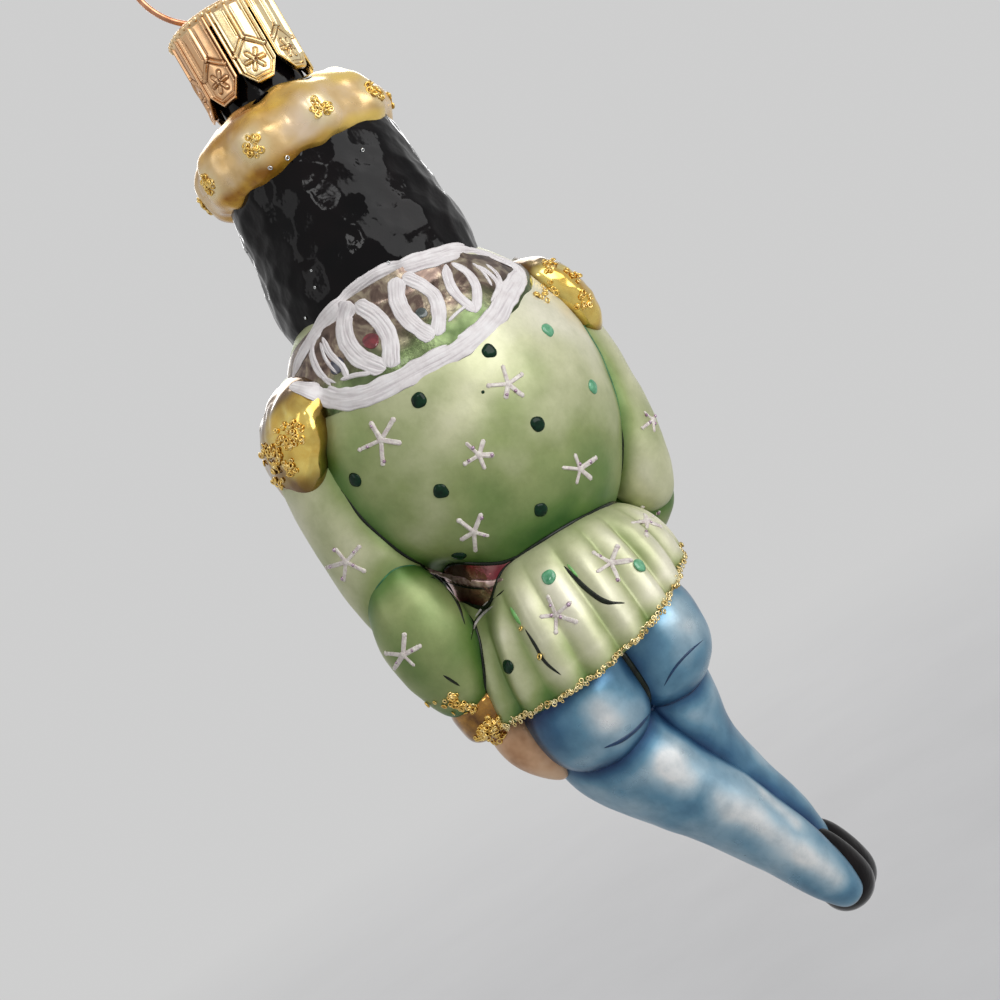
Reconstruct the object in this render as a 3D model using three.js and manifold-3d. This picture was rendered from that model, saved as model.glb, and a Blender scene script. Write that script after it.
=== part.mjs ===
// Hanging nutcracker ornament of mould-blown glass, with a stamped crown cap and a spring-wire hanger.
// Millimetres, +Z up. The origin is the hang point, at the inside top of the wire loop.
// The figure faces -Y, its back is at +Y and its left side at +X.
// Stations down the figure are given as depths below the top of the cap, growing towards the feet.
// The glass is one hollow blow. It is divided here where one lacquer zone meets the next, so that
// each moulded form is its own solid, cut by its neighbours with a thin seam left between them.

import * as THREE from "three";
import { mergeVertices } from "three/addons/utils/BufferGeometryUtils.js";
import Module from "manifold-3d";

const wasm = await Module();
wasm.setup();

// Glass and seams
const WALL = 1.0;
const SEAM = 0.3;
const SEAT = 0.3;

// Hanger wire
const WIRE_R = 0.45;
const LOOP_R = 9.1;
const LEG_X = 3.0;
const LEG_TIP_X = 4.85;
const LEG_STRAIGHT = 7;
const LEG_LENGTH = 19;
const LOOP_CLEAR = 0.8;

// Crown cap
const CAP_R = 8.0;
const CAP_SHEET = 0.5;
const CAP_HOLE_R = 0.85;
const CAP_RIM_R = 0.55;
const CAP_BAND = 2.6;
const PETALS = 8;
const PETAL_LENGTH = 13.2;
const PETAL_SHOULDER = 10.6;
const PETAL_GAP_DEG = 2.5;
const PETAL_TURN_DEG = 14;
const EMBOSS = 0.3;

// Neck and hat
const NECK_R = 6.6;
const NECK_LENGTH = 14;
const CROWN = { top: 14.4, bottom: 26, radius: 12.4 };
const BAND = { top: 15.4, bottom: 28.4, radius: 15.2, waves: 9, wave: 0.5, turnDeg: 92 };
const HAT = { top: 20.5, bottom: 64, radiusTop: 13.9, radiusBottom: 15.6, x: -0.8 };
const FLORET_R = 1.7;
const FLORET_H = 0.8;

// Head, at the hidden front
const FACE = { top: 33, bottom: 58, y: -5.2, width: 12.4, depth: 12.4 };

// Torso, an egg that closes in over the waist, and the collar on its shoulders
const TORSO = { top: 40.5, bottom: 95, y: 1.5, width: 23.4, depth: 18.6 };
const COLLAR = { top: 50, rise: 6.2, side: 52.8, drop: 7.6, stand: 0.5, turnDeg: 14, spanDeg: 86 };

// Arms, which lie against the sides and the front of the torso
const SHOULDER_X = TORSO.width - 3.2;
const ELBOW_X = TORSO.width - 2.4;
const FRONT_Y = -TORSO.depth;
const ARM_R = 6.6;
const CUFF_R = 4.9;
const HAND_R = 3.9;

// Waist and pleated skirt of the jacket
const WAIST = { width: 13.6, depth: 12.6, y: 1.0, inset: 4 };
const SKIRT = { top: 88.3, sideDrop: 1.0, width: 18.6, depth: 18.4, hem: 108.9, lift: 0.0073, liftFrom: 16 };
const RECESS = { turnDeg: 31, spreadDeg: 12, drop: 9 };
const PLEATS = 20;
const PLEAT = 0.55;

// Legs and boots
const BUTTOCK = { x: 6.4, y: 5.4, width: 8.9, depth: 9.4 };
const BOOT_R = 4.4;

// Trims
const HEM_BEAD_R = 0.45;
const BUTTON_R = 1.7;
const BUTTON_H = 1.1;
const BUTTON_DEPTHS = [73, 79.5, 86];

const CAP_TOP_Z = WIRE_R - LOOP_R - Math.sqrt(LOOP_R ** 2 - (LEG_X + LOOP_CLEAR) ** 2) - LOOP_CLEAR;
const TAU = Math.PI * 2;

/** A point of the figure, from its place across, its place front to back and its depth. */
const at = (x, y, depth) => new THREE.Vector3(x, y, CAP_TOP_Z - depth);

/** A manifold solid from corner points and triangles. */
function solid(points, triangles) {
  const vertProperties = new Float32Array(points.flatMap((p) => [p.x, p.y, p.z]));
  return new wasm.Manifold(new wasm.Mesh({
    numProp: 3, vertProperties, triVerts: new Uint32Array(triangles),
  }));
}

/** A manifold solid from a closed three.js geometry. */
function solidOf(geometry) {
  const bare = geometry.clone();
  bare.deleteAttribute("normal");
  bare.deleteAttribute("uv");
  const merged = mergeVertices(bare, 1e-4);
  const index = merged.getIndex();
  return new wasm.Manifold(new wasm.Mesh({
    numProp: 3,
    vertProperties: new Float32Array(merged.getAttribute("position").array),
    triVerts: new Uint32Array(index.array),
  }));
}

/** The skin over rings of equal length, closed by a point at each end. Rings run clockwise seen along the way. */
function skin(first, rings, last) {
  const points = [first, ...rings.flat(), last];
  const n = rings[0].length;
  const end = points.length - 1;
  const triangles = [];
  const id = (ring, i) => 1 + ring * n + (i % n);
  for (let i = 0; i < n; i += 1) {
    triangles.push(0, id(0, i), id(0, i + 1));
    triangles.push(end, id(rings.length - 1, i + 1), id(rings.length - 1, i));
    for (let ring = 0; ring + 1 < rings.length; ring += 1) {
      triangles.push(id(ring, i), id(ring + 1, i), id(ring + 1, i + 1));
      triangles.push(id(ring, i), id(ring + 1, i + 1), id(ring, i + 1));
    }
  }
  return solid(points, triangles);
}

/** How full an end is at t: an ellipse for bluntness 2, squarer above. */
const fullness = (t, blunt) => (1 - Math.abs(2 * t - 1) ** blunt) ** (1 / blunt);

/**
 * A moulded lobe along stations of [x, y, depth, half-width, half-thickness], with rounded ends.
 * grow moves the whole surface outwards, and ripple(angle) adds relief to it. A surface that is
 * moved inwards is the hidden inside of a wall, so it is plainer and has half the faces.
 */
function lobe(stations, { blunt = 2, columns = 20, rows = 10, grow = 0, ripple = () => 0 } = {}) {
  const coarse = grow < 0 ? 2 : 1;
  const around = columns / coarse;
  const along = Math.max(5, rows / coarse);
  const path = new THREE.CatmullRomCurve3(stations.map(([x, y, depth]) => at(x, y, depth)));
  const sizes = new THREE.CatmullRomCurve3(
    stations.map(([, , , a, b]) => new THREE.Vector3(a, b, 0)), false, "catmullrom");
  const side = new THREE.Vector3();
  const front = new THREE.Vector3();
  const rings = [];
  const spot = (t) => path.getPoint(t).addScaledVector(path.getTangent(t), grow * (2 * t - 1));
  for (let row = 1; row < along; row += 1) {
    const t = (1 - Math.cos(Math.PI * row / along)) / 2;
    const tangent = path.getTangent(t);
    side.set(1, 0, 0).addScaledVector(tangent, -tangent.x).normalize();
    front.crossVectors(tangent, side);
    const size = sizes.getPoint(t);
    const full = fullness(t, blunt);
    rings.push(Array.from({ length: around }, (_, i) => {
      const angle = -TAU * i / around;
      const extra = grow + (coarse > 1 ? Math.min(0, ripple(-Math.PI / 2)) : ripple(-angle));
      return spot(t)
        .addScaledVector(side, Math.cos(angle) * (size.x + extra) * full)
        .addScaledVector(front, Math.sin(angle) * (size.y + extra) * full);
    }));
  }
  return skin(spot(0), rings, spot(1));
}

/** A round lobe on the figure's axis, from [depth, radius] stations, or on an axis at x. */
const roundLobe = (stations, options, x = 0) => lobe(stations.map(([d, r]) => [x, 0, d, r, r]), options);

// The lobes of the figure, each as a function of how far its surface is grown

const crownLobe = (grow) => roundLobe(
  [[CROWN.top, CROWN.radius], [CROWN.bottom, CROWN.radius]],
  { blunt: 4, columns: 16, rows: 6, grow });

const bandAngle = (i) => THREE.MathUtils.degToRad(BAND.turnDeg) + TAU * i / BAND.waves;

const bandLobe = (grow) => roundLobe(
  [[BAND.top, BAND.radius - 1.2], [(BAND.top + BAND.bottom) / 2, BAND.radius], [BAND.bottom, BAND.radius]],
  { blunt: 2.5, columns: BAND.waves * 2, rows: 6, grow,
    ripple: (angle) => BAND.wave * (Math.cos(BAND.waves * (angle - bandAngle(0))) - 1) });

const hatLobe = (grow) => roundLobe(
  [[HAT.top, HAT.radiusTop - 0.3], [27, HAT.radiusTop], [35, 14.6], [44, HAT.radiusBottom], [HAT.bottom, 14]],
  { blunt: 5, columns: 16, rows: 6, grow }, HAT.x);

const faceLobe = (grow) => lobe(
  [[0, FACE.y, FACE.top, FACE.width, FACE.depth], [0, FACE.y, 45, FACE.width, FACE.depth],
    [0, FACE.y, FACE.bottom, FACE.width * 0.9, FACE.depth]],
  { blunt: 2.6, columns: 14, rows: 6, grow });

const noseLobe = (grow) => lobe(
  [[0, -16.4, 40.5, 1.4, 1.6], [0, -17.9, 43.6, 2.0, 2.2], [0, -17.4, 46.2, 2.1, 2.0]],
  { columns: 8, rows: 6, grow });

const moustacheLobe = (sign) => (grow) => lobe(
  [[-sign * 1.6, -18.2, 49.0, 1.9, 1.7], [sign * 5.0, -17.6, 49.8, 2.2, 2.0], [sign * 10.4, -13.6, 47.4, 1.6, 1.5]],
  { columns: 8, rows: 6, grow });

const beardLobe = (grow) => lobe(
  [[0, -12.2, 48.6, 8.6, 4.6], [0, -14.6, 56, 8.6, 5.2], [0, FRONT_Y + 1.4, 63.5, 5.6, 4.2],
    [0, FRONT_Y + 0.2, 69.5, 2.6, 2.6]],
  { blunt: 2.4, columns: 12, rows: 6, grow });

const torsoMiddle = (TORSO.top + TORSO.bottom) / 2;
const torsoHalf = (TORSO.bottom - TORSO.top) / 2;

/** How wide the torso is at a depth, as a share of its full width. */
const torsoShare = (depth) => Math.sqrt(Math.max(0, 1 - ((depth - torsoMiddle) / torsoHalf) ** 2));

const torsoLobe = (grow) => lobe(
  [TORSO.top, torsoMiddle, TORSO.bottom].map((depth) => [0, TORSO.y, depth, TORSO.width, TORSO.depth]),
  { columns: 20, rows: 10, grow });

const upperArmLobe = (sign) => (grow) => lobe(
  [[sign * (SHOULDER_X - 4), 0, 51, 6.0, 6.5], [sign * SHOULDER_X, 0, 62, ARM_R, 7.4],
    [sign * ELBOW_X, 0.5, 78, ARM_R, 7.4], [sign * (ELBOW_X - 0.3), 1.0, 94, ARM_R, 7.0]],
  { blunt: 2.6, columns: 12, rows: 6, grow });

const leftForearmLobe = (grow) => lobe(
  [[ELBOW_X + 0.1, 4.0, 79, 5.4, 5.0], [ELBOW_X - 0.1, 3.4, 91, 6.7, 6.6], [ELBOW_X - 1.6, 1.6, 100, 5.6, 5.8],
    [ELBOW_X - 2.6, 0.6, 104.5, 4.8, 5.0]],
  { blunt: 2.6, columns: 12, rows: 8, grow });

const rightForearmLobe = (grow) => lobe(
  [[-ELBOW_X, 1.5, 88, 6.0, 6.2], [1.2 - ELBOW_X, -6, 91.5, 5.6, 6.4], [6 - ELBOW_X, FRONT_Y + 4.6, 93.0, 4.6, 5.4]],
  { blunt: 2.6, columns: 12, rows: 8, grow });

const leftCuffLobe = (grow) => lobe(
  [[ELBOW_X - 2.6, 1.0, 101.8, CUFF_R, CUFF_R + 0.3], [ELBOW_X - 4, 0.4, 108.6, CUFF_R, CUFF_R + 0.3]],
  { blunt: 4, columns: 12, rows: 6, grow });

const rightCuffLobe = (grow) => lobe(
  [[4.6 - ELBOW_X, FRONT_Y + 6.4, 92.8, CUFF_R, CUFF_R + 0.4],
    [8.6 - ELBOW_X, FRONT_Y + 2, 93.6, CUFF_R, CUFF_R + 0.4]],
  { blunt: 4, columns: 12, rows: 6, grow });

const leftHandLobe = (grow) => lobe(
  [[ELBOW_X - 3.8, 0.6, 104.6, HAND_R, HAND_R], [ELBOW_X - 6, 0.8, 112.5, HAND_R, HAND_R],
    [ELBOW_X - 8.2, 1.2, 119.6, 2.6, 3.0]],
  { columns: 10, rows: 6, grow });

const rightHandLobe = (grow) => lobe(
  [[5.8 - ELBOW_X, FRONT_Y + 5.2, 93.4, HAND_R, HAND_R], [12.6 - ELBOW_X, FRONT_Y - 0.4, 94.8, HAND_R, HAND_R],
    [18.2 - ELBOW_X, FRONT_Y - 2, 95.6, 2.8, 3.4]],
  { columns: 10, rows: 6, grow });

const epauletteLobe = (sign) => (grow) => lobe(
  [[sign * (SHOULDER_X - 4.6), 0, 53.8, 4.4, 8.4], [sign * (SHOULDER_X + 1), 0, 58.2, 5.0, 9.6],
    [sign * (SHOULDER_X + 4.7), 0.2, 67.6, 3.4, 8.6]],
  { blunt: 3, columns: 12, rows: 6, grow });

const waistLobe = (grow) => lobe(
  [80, 90, 101].map((depth) => [0, WAIST.y, depth, WAIST.width, WAIST.depth]),
  { blunt: 6, columns: 16, rows: 6, grow });

const buttockLobe = (sign, top) => (grow) => lobe(
  [top, top + 10, top + 20].map((depth) => [
    sign * BUTTOCK.x, BUTTOCK.y, depth, BUTTOCK.width, BUTTOCK.depth]),
  { blunt: 2.3, columns: 12, rows: 6, grow });

const leftLegLobe = (grow) => lobe(
  [[5.4, 0.5, 98, 9.4, 12.0], [4.6, 0.6, 118, 8.7, 10.0], [0.2, 1.2, 127, 7.2, 8.4], [-5.4, 1.8, 136, 5.8, 7.0],
    [-10.8, 2.0, 146, 5.0, 6.0], [-16.2, 2.0, 157.8, 4.4, 4.8]],
  { blunt: 3.4, columns: 12, rows: 8, grow });

const rightLegLobe = (grow) => lobe(
  [[-5.4, 0, 98, 9.2, 12.0], [-6.4, -0.6, 116, 8.2, 10.0], [-7.4, -2.2, 126, 6.7, 8.2], [-10.5, -3.0, 135, 5.7, 7.0],
    [-14.6, -3.0, 145, 5.0, 6.0], [-17.4, -2.6, 155.5, 4.0, 4.6]],
  { blunt: 3.2, columns: 12, rows: 8, grow });

const bootLobe = (x, y) => (grow) => lobe(
  [[x + 2.4, y + 1.4, 146, BOOT_R, BOOT_R], [x, y, 155.4, BOOT_R, BOOT_R],
    [x - 1.8, y - 4.0, 158.2, BOOT_R - 0.8, 2.6], [x - 4.2, y - 9.5, 158.6, 2.8, 2.0]],
  { blunt: 2.8, columns: 10, rows: 8, grow });

const leftBoot = bootLobe(-17.0, -0.6);
const rightBoot = bootLobe(-19.4, -3.6);

/** The depth of the jacket's hem at a place across, lifted towards the figure's right. */
const hemDepth = (x) => SKIRT.hem - SKIRT.lift * Math.max(0, SKIRT.liftFrom - x) ** 2;

/** The place of the skirt's outside at an angle from the left side, t of the way down, grown outwards. */
function skirtPoint(angle, t, grow = 0, pleat = PLEAT) {
  const fall = THREE.MathUtils.euclideanModulo(angle - THREE.MathUtils.degToRad(RECESS.turnDeg) + Math.PI, TAU) - Math.PI;
  const dip = RECESS.drop * Math.exp(-((fall / THREE.MathUtils.degToRad(RECESS.spreadDeg)) ** 2));
  const top = SKIRT.top + SKIRT.sideDrop * Math.cos(angle) ** 2 + dip;
  const swell = Math.sin(Math.PI / 2 * t) ** 0.5;
  const ripple = pleat * t * Math.sin(PLEATS * angle) + grow;
  const a = THREE.MathUtils.lerp(WAIST.width - 1, SKIRT.width, swell) + ripple;
  const b = THREE.MathUtils.lerp(WAIST.depth - 1, SKIRT.depth, swell) + ripple;
  const x = a * Math.cos(angle);
  return at(x, WAIST.y + b * Math.sin(angle), THREE.MathUtils.lerp(top - grow, hemDepth(x) + grow, t));
}

/** The pleated skirt of the jacket: it swells out below the waist and turns back under its hem. */
function skirtLobe(grow = 0) {
  const inside = grow < 0;
  const columns = PLEATS * 2;
  const steps = inside ? [0, 0.2, 1] : [0, 0.05, 0.25, 1];
  const rings = steps.map((t) => Array.from({ length: columns }, (_, i) => (
    skirtPoint(TAU * (i + 0.5) / columns, t, inside ? grow - PLEAT * t : grow, inside ? 0 : PLEAT))));
  const under = rings[rings.length - 1].map((p) => new THREE.Vector3(p.x * 0.94, p.y * 0.94, p.z - 0.7));
  return skin(at(0, 0, SKIRT.top + 4 - grow), [...rings, under], at(0, 0, 103 + grow));
}

/** The wall of a hollow form. */
const wall = (form) => form(0).subtract(form(-WALL));

/** A body cut back by its neighbours, with a seam left between them. */
const cut = (body, neighbours) => neighbours.reduce((rest, other) => rest.subtract(other(SEAM)), body);

/** A form with its copy further out on the figure's left, so that what it cuts stays open on that side. */
const openOut = (form) => (grow) => form(grow).add(form(grow).translate([CUFF_R, 0, 0]));

/** The largest of the bodies that a cut leaves. */
const largest = (body) => body.decompose().sort((p, q) => q.volume() - p.volume())[0];

/** What is left of a form's own wall after its neighbours have cut it back. */
const wallOf = (form, neighbours) => largest(cut(wall(form), neighbours));

/** The half of a body behind or in front of the mould's parting plane. */
function half(body, sign) {
  const size = 200;
  const box = new THREE.BoxGeometry(size, size, size * 2);
  box.translate(0, sign * (size / 2 + SEAM / 2), 0);
  return body.intersect(solidOf(box));
}

/** A three.js geometry from a manifold solid. */
function geometryOf(body) {
  const { vertProperties, triVerts } = body.getMesh();
  const geometry = new THREE.BufferGeometry();
  geometry.setAttribute("position", new THREE.BufferAttribute(new Float32Array(vertProperties), 3));
  geometry.setIndex(Array.from(triVerts));
  return geometry;
}

// Hanger

/** The wire: a round loop in the frontal plane, with two legs that go down through the cap and spread. */
function hangerWire() {
  const centreZ = WIRE_R - LOOP_R;
  const start = Math.asin((LEG_X + LOOP_CLEAR) / LOOP_R);
  const arcSteps = 20;
  const points = [at(-LEG_TIP_X, 0, LEG_LENGTH), at(-LEG_X, 0, LEG_STRAIGHT), at(-LEG_X, 0, 0)];
  for (let i = 0; i <= arcSteps; i += 1) {
    const turn = start + (TAU - 2 * start) * i / arcSteps;
    points.push(new THREE.Vector3(-LOOP_R * Math.sin(turn), 0, centreZ - LOOP_R * Math.cos(turn)));
  }
  points.push(at(LEG_X, 0, 0), at(LEG_X, 0, LEG_STRAIGHT), at(LEG_TIP_X, 0, LEG_LENGTH));
  return tube(points, WIRE_R, 36, 6);
}

/** A round bar of some sides along a smooth curve through points. */
function tube(points, radius, steps, sides) {
  const section = new THREE.Shape(Array.from({ length: sides }, (_, i) => (
    new THREE.Vector2(radius * Math.cos(TAU * i / sides), radius * Math.sin(TAU * i / sides)))));
  return new THREE.ExtrudeGeometry(section, {
    steps, bevelEnabled: false, extrudePath: new THREE.CatmullRomCurve3(points),
  });
}

// Crown cap

/** One petal of the cap: a curved plate with a pointed foot, a raised border and two sunk panels. */
function petal(turn) {
  const halfAngle = Math.PI / PETALS - THREE.MathUtils.degToRad(PETAL_GAP_DEG) / 2;
  const across = [-1, -0.8, 0, 0.8, 1];
  const down = [0, 0.1, 0.5, 0.88, 1];
  const foot = (u) => PETAL_SHOULDER + (PETAL_LENGTH - PETAL_SHOULDER) * Math.min(1, (1 - Math.abs(u)) / 0.6);
  const relief = (u, v) => {
    const border = Math.abs(u) === 1 || v === 0 || v === 1;
    const rib = u === 0 && v <= 0.5;
    return border || rib ? EMBOSS : 0;
  };
  const point = (u, v, radius) => {
    const angle = turn + u * halfAngle;
    return at(radius * Math.cos(angle), radius * Math.sin(angle), 0.6 + (foot(u) - 0.6) * v);
  };
  const outer = down.map((v) => across.map((u) => point(u, v, CAP_R + relief(u, v))));
  const inner = down.map((v) => across.map((u) => point(u, v, CAP_R - CAP_SHEET)));
  return plate(outer, inner);
}

/** A closed plate between two grids of points with the same rows and columns. */
function plate(outer, inner) {
  const rows = outer.length;
  const columns = outer[0].length;
  const points = [...outer.flat(), ...inner.flat()];
  const out = (row, column) => row * columns + column;
  const back = (row, column) => rows * columns + row * columns + column;
  const triangles = [];
  const quad = (a, b, c, d) => triangles.push(a, b, c, a, c, d);
  for (let row = 0; row + 1 < rows; row += 1) {
    for (let column = 0; column + 1 < columns; column += 1) {
      quad(out(row, column), out(row + 1, column), out(row + 1, column + 1), out(row, column + 1));
      quad(back(row, column), back(row, column + 1), back(row + 1, column + 1), back(row + 1, column));
    }
    quad(out(row, 0), back(row, 0), back(row + 1, 0), out(row + 1, 0));
    quad(out(row, columns - 1), out(row + 1, columns - 1), back(row + 1, columns - 1), back(row, columns - 1));
  }
  for (let column = 0; column + 1 < columns; column += 1) {
    quad(out(0, column), out(0, column + 1), back(0, column + 1), back(0, column));
    quad(out(rows - 1, column), back(rows - 1, column), back(rows - 1, column + 1), out(rows - 1, column + 1));
  }
  return solid(points, triangles);
}

/** The cap's top: a disc with a rolled rim and a short band that carries the petals. */
function capTop() {
  const profile = [
    [0, 0], [CAP_R - CAP_RIM_R, 0], [CAP_R, CAP_RIM_R * 0.3], [CAP_R + CAP_RIM_R, CAP_RIM_R],
    [CAP_R + CAP_RIM_R, CAP_RIM_R * 1.6], [CAP_R, CAP_RIM_R * 2.2], [CAP_R, CAP_BAND],
    [CAP_R - CAP_SHEET, CAP_BAND], [CAP_R - CAP_SHEET, CAP_SHEET], [0, CAP_SHEET],
  ];
  const points = profile.map(([r, depth]) => new THREE.Vector2(r, CAP_TOP_Z - depth)).reverse();
  const lathe = new THREE.LatheGeometry(points, 16);
  lathe.rotateX(Math.PI / 2);
  return solidOf(lathe);
}

/** A round bar along Z, for bores and holes. */
function bar(radius, top, bottom, x = 0) {
  const geometry = new THREE.CylinderGeometry(radius, radius, bottom - top, 16);
  geometry.rotateX(Math.PI / 2);
  geometry.translate(x, 0, CAP_TOP_Z - (top + bottom) / 2);
  return solidOf(geometry);
}

function crownCap() {
  let cap = capTop();
  for (let i = 0; i < PETALS; i += 1) {
    cap = cap.add(petal(TAU * (i + 0.5) / PETALS + THREE.MathUtils.degToRad(PETAL_TURN_DEG)));
  }
  for (const sign of [-1, 1]) {
    cap = cap.subtract(bar(CAP_HOLE_R, -1, 2, sign * LEG_X));
  }
  return cap;
}

// Glass zones

/** The top of the hat with the open neck that the cap sits on. */
function hatCrown() {
  const neckTop = CAP_SHEET + SEAT;
  const outside = crownLobe(0).add(bar(NECK_R, neckTop, NECK_LENGTH + 2));
  const inside = crownLobe(-WALL).add(bar(NECK_R - WALL, neckTop - 1, NECK_LENGTH + 4));
  return largest(cut(outside.subtract(inside), [bandLobe, hatLobe]));
}

/** The collar: a cape of glass from the head out over the shoulders, deepest behind. */
function collarForm(grow = 0, thick = WALL) {
  const columns = 24;
  const steps = [0, 0.5, 1];
  const lens = (angle) => {
    const away = THREE.MathUtils.radToDeg(angle) - 90 + COLLAR.turnDeg;
    const share = Math.abs(THREE.MathUtils.euclideanModulo(away + 180, 360) - 180) / COLLAR.spanDeg;
    return (1 - Math.min(1, share) ** 2.4) ** 0.6;
  };
  const grid = (offset) => steps.map((t) => Array.from({ length: columns + 1 }, (_, i) => {
    const angle = TAU * i / columns;
    const high = COLLAR.top - COLLAR.rise * lens(angle) - grow;
    const low = COLLAR.side + COLLAR.drop * lens(angle) + grow;
    const depth = THREE.MathUtils.lerp(high, low, t);
    const r = Math.max(torsoRadius(angle, depth), HAT.radiusBottom) + COLLAR.stand + offset;
    return at(r * Math.cos(angle), r * Math.sin(angle), depth);
  }));
  return ringPlate(grid(grow), grid(-thick - grow));
}

/** How far the torso reaches from the figure's axis, at an angle from its left side and a depth. */
function torsoRadius(angle, depth) {
  const share = Math.max(0.01, torsoShare(depth));
  const a = TORSO.width * share;
  const b = TORSO.depth * share;
  const k = (Math.cos(angle) / a) ** 2 + (Math.sin(angle) / b) ** 2;
  const m = TORSO.y * Math.sin(angle) / b ** 2;
  return (m + Math.sqrt(Math.max(0, m * m - k * ((TORSO.y / b) ** 2 - 1)))) / k;
}

/** A closed band between two grids that run once round. */
function ringPlate(outer, inner) {
  const rows = outer.length;
  const n = outer[0].length - 1;
  const points = [...outer.flatMap((row) => row.slice(0, n)), ...inner.flatMap((row) => row.slice(0, n))];
  const out = (row, i) => row * n + (i % n);
  const back = (row, i) => rows * n + row * n + (i % n);
  const triangles = [];
  const quad = (a, b, c, d) => triangles.push(a, b, c, a, c, d);
  for (let i = 0; i < n; i += 1) {
    for (let row = 0; row + 1 < rows; row += 1) {
      quad(out(row, i), out(row + 1, i), out(row + 1, i + 1), out(row, i + 1));
      quad(back(row, i), back(row, i + 1), back(row + 1, i + 1), back(row + 1, i));
    }
    quad(out(0, i), out(0, i + 1), back(0, i + 1), back(0, i));
    quad(out(rows - 1, i), back(rows - 1, i), back(rows - 1, i + 1), out(rows - 1, i + 1));
  }
  return solid(points, triangles);
}

const moustache = (grow) => moustacheLobe(1)(grow).add(moustacheLobe(-1)(grow));
const collarCut = (grow) => collarForm(grow, 6);
const leftArm = (grow) => upperArmLobe(1)(grow).add(leftForearmLobe(grow));
const rightArm = (grow) => upperArmLobe(-1)(grow).add(rightForearmLobe(grow));
const leftSeat = (grow) => buttockLobe(1, 101)(grow).add(leftLegLobe(grow));
const rightSeat = (grow) => buttockLobe(-1, 98.5)(grow).add(rightLegLobe(grow));

// Trims

/** A low dome on a surface at foot, facing out, with a radius for each corner of its rim. */
function dome(foot, out, across, radii, height) {
  const up = new THREE.Vector3().crossVectors(out, across);
  const ring = (share, rise) => radii.map((radius, k) => {
    const turn = TAU * k / radii.length;
    return foot.clone().addScaledVector(out, rise)
      .addScaledVector(across, radius * share * Math.cos(turn))
      .addScaledVector(up, radius * share * Math.sin(turn));
  });
  const inside = foot.clone().addScaledVector(out, -height);
  return skin(foot.clone().addScaledVector(out, height), [ring(0.7, height * 0.8), ring(1, 0)], inside);
}

/** A small five-petalled patch of glitter that stands on a crest of the hat's band. */
function floret(i) {
  const angle = bandAngle(i);
  const out = new THREE.Vector3(Math.cos(angle), Math.sin(angle), 0);
  const across = new THREE.Vector3(-out.y, out.x, 0);
  const foot = at(0, 0, (BAND.top + BAND.bottom) / 2).addScaledVector(out, BAND.radius);
  const radii = Array.from({ length: 10 }, (_, k) => FLORET_R * (k % 2 ? 1 : 0.72));
  return largest(cut(dome(foot, out, across, radii, FLORET_H), [bandLobe]));
}

/** A domed button on the front of the torso. */
function button(depth) {
  const share = torsoShare(depth);
  const foot = at(0, TORSO.y - TORSO.depth * share, depth);
  const fall = (depth - torsoMiddle) / torsoHalf ** 2;
  const out = new THREE.Vector3(0, -share / TORSO.depth, -fall).normalize();
  return largest(cut(dome(foot, out, new THREE.Vector3(1, 0, 0), Array(12).fill(BUTTON_R), BUTTON_H), [torsoLobe]));
}

/** A bead of glitter along part of the hem, between two folds counted from the figure's left side. */
function hemTrim(from, to) {
  const points = Array.from({ length: to - from + 1 }, (_, i) => (
    skirtPoint(Math.PI * (from + i + 0.5) / PLEATS, 1, HEM_BEAD_R + SEAT)));
  return tube(points, HEM_BEAD_R, to - from, 5);
}

const part = new THREE.Group();

/** Adds a finished piece to the part. */
function place(name, shape, look) {
  const geometry = shape.isBufferGeometry ? shape : geometryOf(shape);
  const mesh = new THREE.Mesh(geometry, new THREE.MeshStandardMaterial(look));
  mesh.name = name;
  part.add(mesh);
}

const copper = { color: 0xb87850, roughness: 0.25, metalness: 1 };
const paleGold = { color: 0xe0c890, roughness: 0.3, metalness: 1 };
const blackGloss = { color: 0x08080a, roughness: 0.1, metalness: 0 };
const creamGold = { color: 0xd2b48c, roughness: 0.3, metalness: 0.4 };
const flesh = { color: 0xd9a988, roughness: 0.35, metalness: 0 };
const white = { color: 0xe6e2e4, roughness: 0.5, metalness: 0 };
const green = { color: 0x93a86f, roughness: 0.45, metalness: 0.2 };
const gold = { color: 0xe0b040, roughness: 0.2, metalness: 0.8 };
const red = { color: 0x8c2430, roughness: 0.2, metalness: 0.5 };
const blue = { color: 0x5a8ba8, roughness: 0.4, metalness: 0.3 };

const head = [hatLobe, faceLobe, beardLobe, collarCut];
const pads = [epauletteLobe(1), epauletteLobe(-1)];
const arms = [leftArm, rightArm];
const cuffs = [leftCuffLobe, rightCuffLobe];
const hands = [leftHandLobe, rightHandLobe];
const seats = [leftSeat, rightSeat];
const boots = [leftBoot, rightBoot];
const without = (forms, own) => forms.filter((form) => form !== own);

place("hanger_wire", hangerWire(), copper);
place("crown_cap", crownCap(), paleGold);
place("hat_crown", hatCrown(), blackGloss);
place("hat_band", wallOf(bandLobe, [crownLobe, hatLobe]), creamGold);
for (let i = 0; i < BAND.waves; i += 1) {
  place(`hat_floret_${i + 1}`, floret(i), gold);
}
place("hat_body", wallOf(hatLobe, [bandLobe, crownLobe, faceLobe, collarCut, torsoLobe, beardLobe]), blackGloss);
place("face", wallOf(faceLobe, [hatLobe, torsoLobe, beardLobe, noseLobe, moustache]), flesh);
place("nose", largest(cut(noseLobe(0), [faceLobe, moustache])), flesh);
place("moustache", largest(cut(moustache(0), [faceLobe, beardLobe])), white);
place("beard", wallOf(beardLobe, [hatLobe, faceLobe, moustache, torsoLobe]), white);
place("collar", largest(cut(collarForm(), [beardLobe, faceLobe, ...pads, ...arms])), white);

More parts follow.
